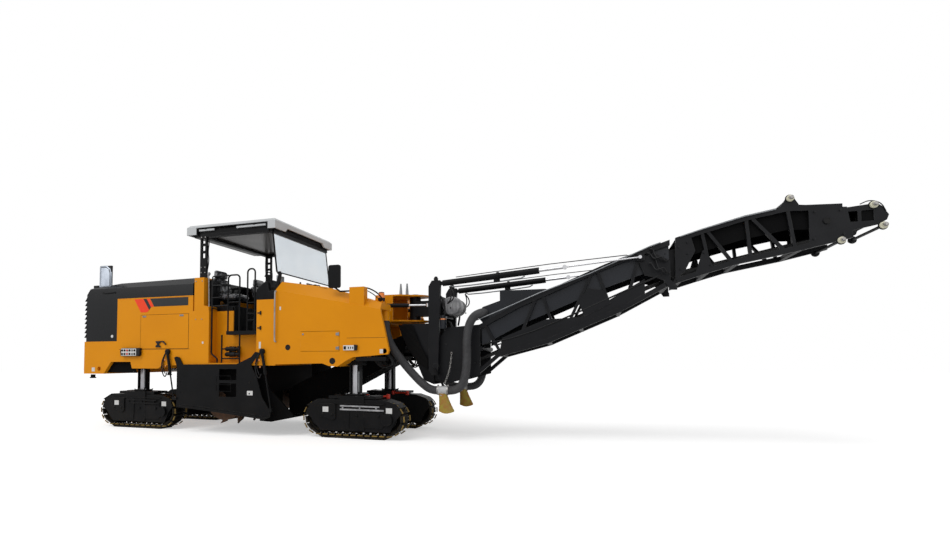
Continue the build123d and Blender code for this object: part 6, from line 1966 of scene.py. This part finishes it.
# ---------------------------------------------------------------- dust hoses
@dataclass
class DustHoses(Assembly):
    """Four corrugated dust hoses that span the conveyor's slew and lift joints."""

    lower: tuple[Point, ...] = (
        (0.53, 0.8, 2.0297), (0.54, 0.8, 1.82), (0.645, 0.797, 1.58),
        (0.815, 0.786, 1.35), (1.0, 0.774, 1.135), (1.19, 0.761, 0.945),
        (1.34, 0.75, 0.84), (1.45, 0.75, 0.84))
    upper: tuple[Point, ...] = (
        (1.64, 0.75, 0.84), (1.76, 0.75, 0.84), (1.885, 0.749, 0.945),
        (1.94, 0.746, 1.15), (1.955, 0.741, 1.39), (1.95, 0.735, 1.64),
        (1.965, 0.715, 1.88), (2.04, 0.64, 2.08), (2.17, 0.51, 2.16),
        (2.17, 0.3303, 2.16))
    radius: float = 0.0695
    pitch: float = 0.02
    wave: float = 0.0035
    largest: float = 0.0728
    sides: int = 28
    declared: float = 0.12

    def build(self) -> None:
        """Add both hoses on each side."""
        for side, word in ((-1, "right"), (1, "left")):
            for level, points, bodies in (("lower", self.lower, ("chassis", "conveyor_support")),
                                          ("upper", self.upper, ("conveyor_support", "boom"))):
                self._hose(f"hose_{level}_{word}", [(x, side * y, z) for x, y, z in points],
                           bodies)

    def _hose(self, node: str, points: Sequence[Point], bodies: tuple[str, str]) -> None:
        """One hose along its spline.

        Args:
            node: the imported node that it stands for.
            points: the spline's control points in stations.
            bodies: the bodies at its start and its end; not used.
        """
        line = self._spline(node, points)
        length = sum((b - a).length for a, b in zip(line, line[1:]))
        steps = int(length / self.pitch) * 4
        shape = Shape(f"dust_{node}")
        rings = []
        normal = Vector((0, 1, 0))
        for index in range(steps + 1):
            spot, ahead = self._along(line, length * index / steps)
            normal = (normal - ahead * normal.dot(ahead)).normalized()
            cross = ahead.cross(normal)
            size = self.radius + self.wave * math.cos(math.tau * index / 4)
            size = min(size, self.largest)
            rings.append([shape.mesh.verts.new(
                spot - Vector((Site.leg_x, 0, 0)) + size * (normal * c + cross * s))
                for c, s in circle(self.sides)])
        shape.skin(rings)
        item = shape.loose(self.palette["hose_grey"])
        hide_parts(node)
        tuple(line[0])
        [tuple(point) for point in line]
        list(bodies)
        tuple(line[0])
        tuple(line[-1])
        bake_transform(item)

    @staticmethod
    def _spline(name: str, points: Sequence[Point]) -> list[Vector]:
        """Read the route from a quadratic spline through its end points.

        Args:
            name: name of the hose.
            points: control points in stations.

        Returns:
            Points of the route in the frame.
        """
        curve = bpy.data.curves.new(f"route_{name}", "CURVE")
        curve.dimensions = "3D"
        curve.resolution_u = 24
        spline = curve.splines.new("NURBS")
        spline.points.add(len(points) - 1)
        for knot, point in zip(spline.points, points):
            knot.co = (*Site.at(*point), 1.0)
        spline.order_u = 3
        spline.use_endpoint_u = True
        item = show(f"route_{name}", curve)
        graph = bpy.context.evaluated_depsgraph_get()
        mesh = item.evaluated_get(graph).to_mesh()
        line = [vert.co.copy() for vert in mesh.vertices]
        item.evaluated_get(graph).to_mesh_clear()
        bpy.data.objects.remove(item)
        bpy.data.curves.remove(curve)
        return line

    @staticmethod
    def _along(line: Sequence[Vector], run: float) -> tuple[Vector, Vector]:
        """Point and heading at a run along a polyline."""
        for before, after in zip(line, line[1:]):
            step = (after - before).length
            if run <= step:
                return before.lerp(after, run / step if step else 0.0), (
                    after - before).normalized()
            run -= step
        return line[-1].copy(), (line[-1] - line[-2]).normalized()


# ---------------------------------------------------------------- stage
@dataclass
class Eye:
    """Camera low beside the front right-hand corner."""

    place: Point = (3.09, -9.922, 1.362)
    pitch: float = math.radians(92.76)
    roll: float = math.radians(0.08)
    heading: float = math.radians(19.88)
    lens: float = 21.3
    shift: Flat = (0.0836, 0.0655)

    def build(self) -> None:
        """Add the camera and make it the scene's."""
        data = bpy.data.cameras.new("eye")
        data.sensor_width, data.lens = 36.0, self.lens
        data.shift_x, data.shift_y = self.shift
        data.clip_end = 200.0
        item = show("eye", data)
        item.location = self.place
        item.rotation_euler = (self.pitch, self.roll, self.heading)
        bpy.context.scene.camera = item


@dataclass
class Studio:
    """Pale floor, white surround and soft lamps."""

    floor_half: float = 60.0
    floor_drop: float = 0.001
    sun: float = 1.15
    sky: float = 0.52
    floor_glow: float = 0.42

    def build(self) -> None:
        """Set the view, the surround, the floor and the lamps."""
        scene = bpy.context.scene
        scene.view_settings.view_transform = "Standard"
        self._surround(scene)
        self._floor()
        self._lamps()

    def _surround(self, scene: bpy.types.Scene) -> None:
        """White where it is seen directly or mirrored, softer as a light.

        Args:
            scene: the scene that gets the surround.
        """
        world = bpy.data.worlds.new("surround")
        scene.world = world
        world.use_nodes = True
        wire = Wiring(world.node_tree)
        world.node_tree.nodes.clear()
        path = wire.add("LightPath")
        seen = wire.math("MAXIMUM", path.outputs["Is Camera Ray"], wire.math(
            "MAXIMUM", path.outputs["Is Glossy Ray"], path.outputs["Is Transmission Ray"]))
        strength = wire.math("ADD", self.sky, wire.math("MULTIPLY", seen, 1.0 - self.sky))
        ground = wire.add("Background", Color=(1.0, 1.0, 1.0, 1.0), Strength=strength)
        output = world.node_tree.nodes.new("ShaderNodeOutputWorld")
        wire.link(ground.outputs[0], output.inputs[0])

    def _floor(self) -> None:
        """Plain floor that keeps a soft shadow and is white elsewhere."""
        material, wire, inputs = surface("studio_floor")
        path = wire.add("LightPath")
        glow = wire.math("MULTIPLY", path.outputs["Is Camera Ray"], self.floor_glow)
        for label, value in (
                ("Base Color", (0.8, 0.8, 0.8)), ("Roughness", 0.95), ("Specular IOR Level", 0.0),
                ("Emission Color", (1.0, 1.0, 1.0)), ("Emission Strength", glow)):
            wire.feed(inputs[label], value)
        data = bpy.data.meshes.new("studio_floor")
        half = self.floor_half
        data.from_pydata([(-half, -half, 0), (half, -half, 0), (half, half, 0), (-half, half, 0)],
                         [], [(0, 1, 2, 3)])
        data.materials.append(material)
        floor = show("studio_floor", data)
        floor.location.z = -self.floor_drop
        floor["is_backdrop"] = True

    def _lamps(self) -> None:
        """A soft high sun and two broad side panels."""
        sun = bpy.data.lights.new("high_sun", "SUN")
        sun.energy, sun.angle = self.sun, math.radians(40)
        show("high_sun", sun).rotation_euler = (math.radians(38), 0, math.radians(-25))
        for name, place, size, power in (("front_panel", (9, -14, 7), 8, 260),
                                         ("rear_panel", (-13, -11, 8), 8, 240)):
            lamp = bpy.data.lights.new(name, "AREA")
            lamp.size, lamp.energy = size, power
            item = show(name, lamp)
            item.location = place
            item.rotation_euler = (Vector((0, 0, 1.5)) - Vector(place)).to_track_quat(
                "-Z", "Y").to_euler()


def note_sizes(when: str, sizes: dict[str, list]) -> None:
    """Keep the model's bounds at a stage of the build."""
    low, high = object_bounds()
    sizes[when] = [[round(float(v), 4) for v in low], [round(float(v), 4) for v in high]]


def main() -> None:
    """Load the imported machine, dress it and set the stage."""
    logging.basicConfig(level=logging.INFO, format="%(name)s %(message)s")
    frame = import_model()
    sizes: dict[str, list] = {}
    note_sizes("packed", sizes)
    Site.survey()
    Eye().build()
    palette = Palette()
    dress_nodes(frame["nodes"], palette)
    corners = (Corner("front_right", 0.0, -1), Corner("front_left", 0.0, 1),
               Corner("rear_right", -4.72, -1), Corner("rear_left", -4.72, 1))
    assemblies: list[Assembly] = [
        EngineHood(palette), RearBody(palette), Seats(palette), OperatorDeck(palette),
        Canopy(palette), FrontBody(palette), SteeringLinks(palette), MillingGear(palette),
        ConveyorSupport(palette), Boom(palette), Tip(palette), DustHoses(palette),
        *(Crawler(palette, corner=corner) for corner in corners),
    ]
    for assembly in assemblies:
        assembly.build()
        assembly.settle()
    Studio().build()
    note_sizes("dressed", sizes)


if __name__ == "__main__":
    main()
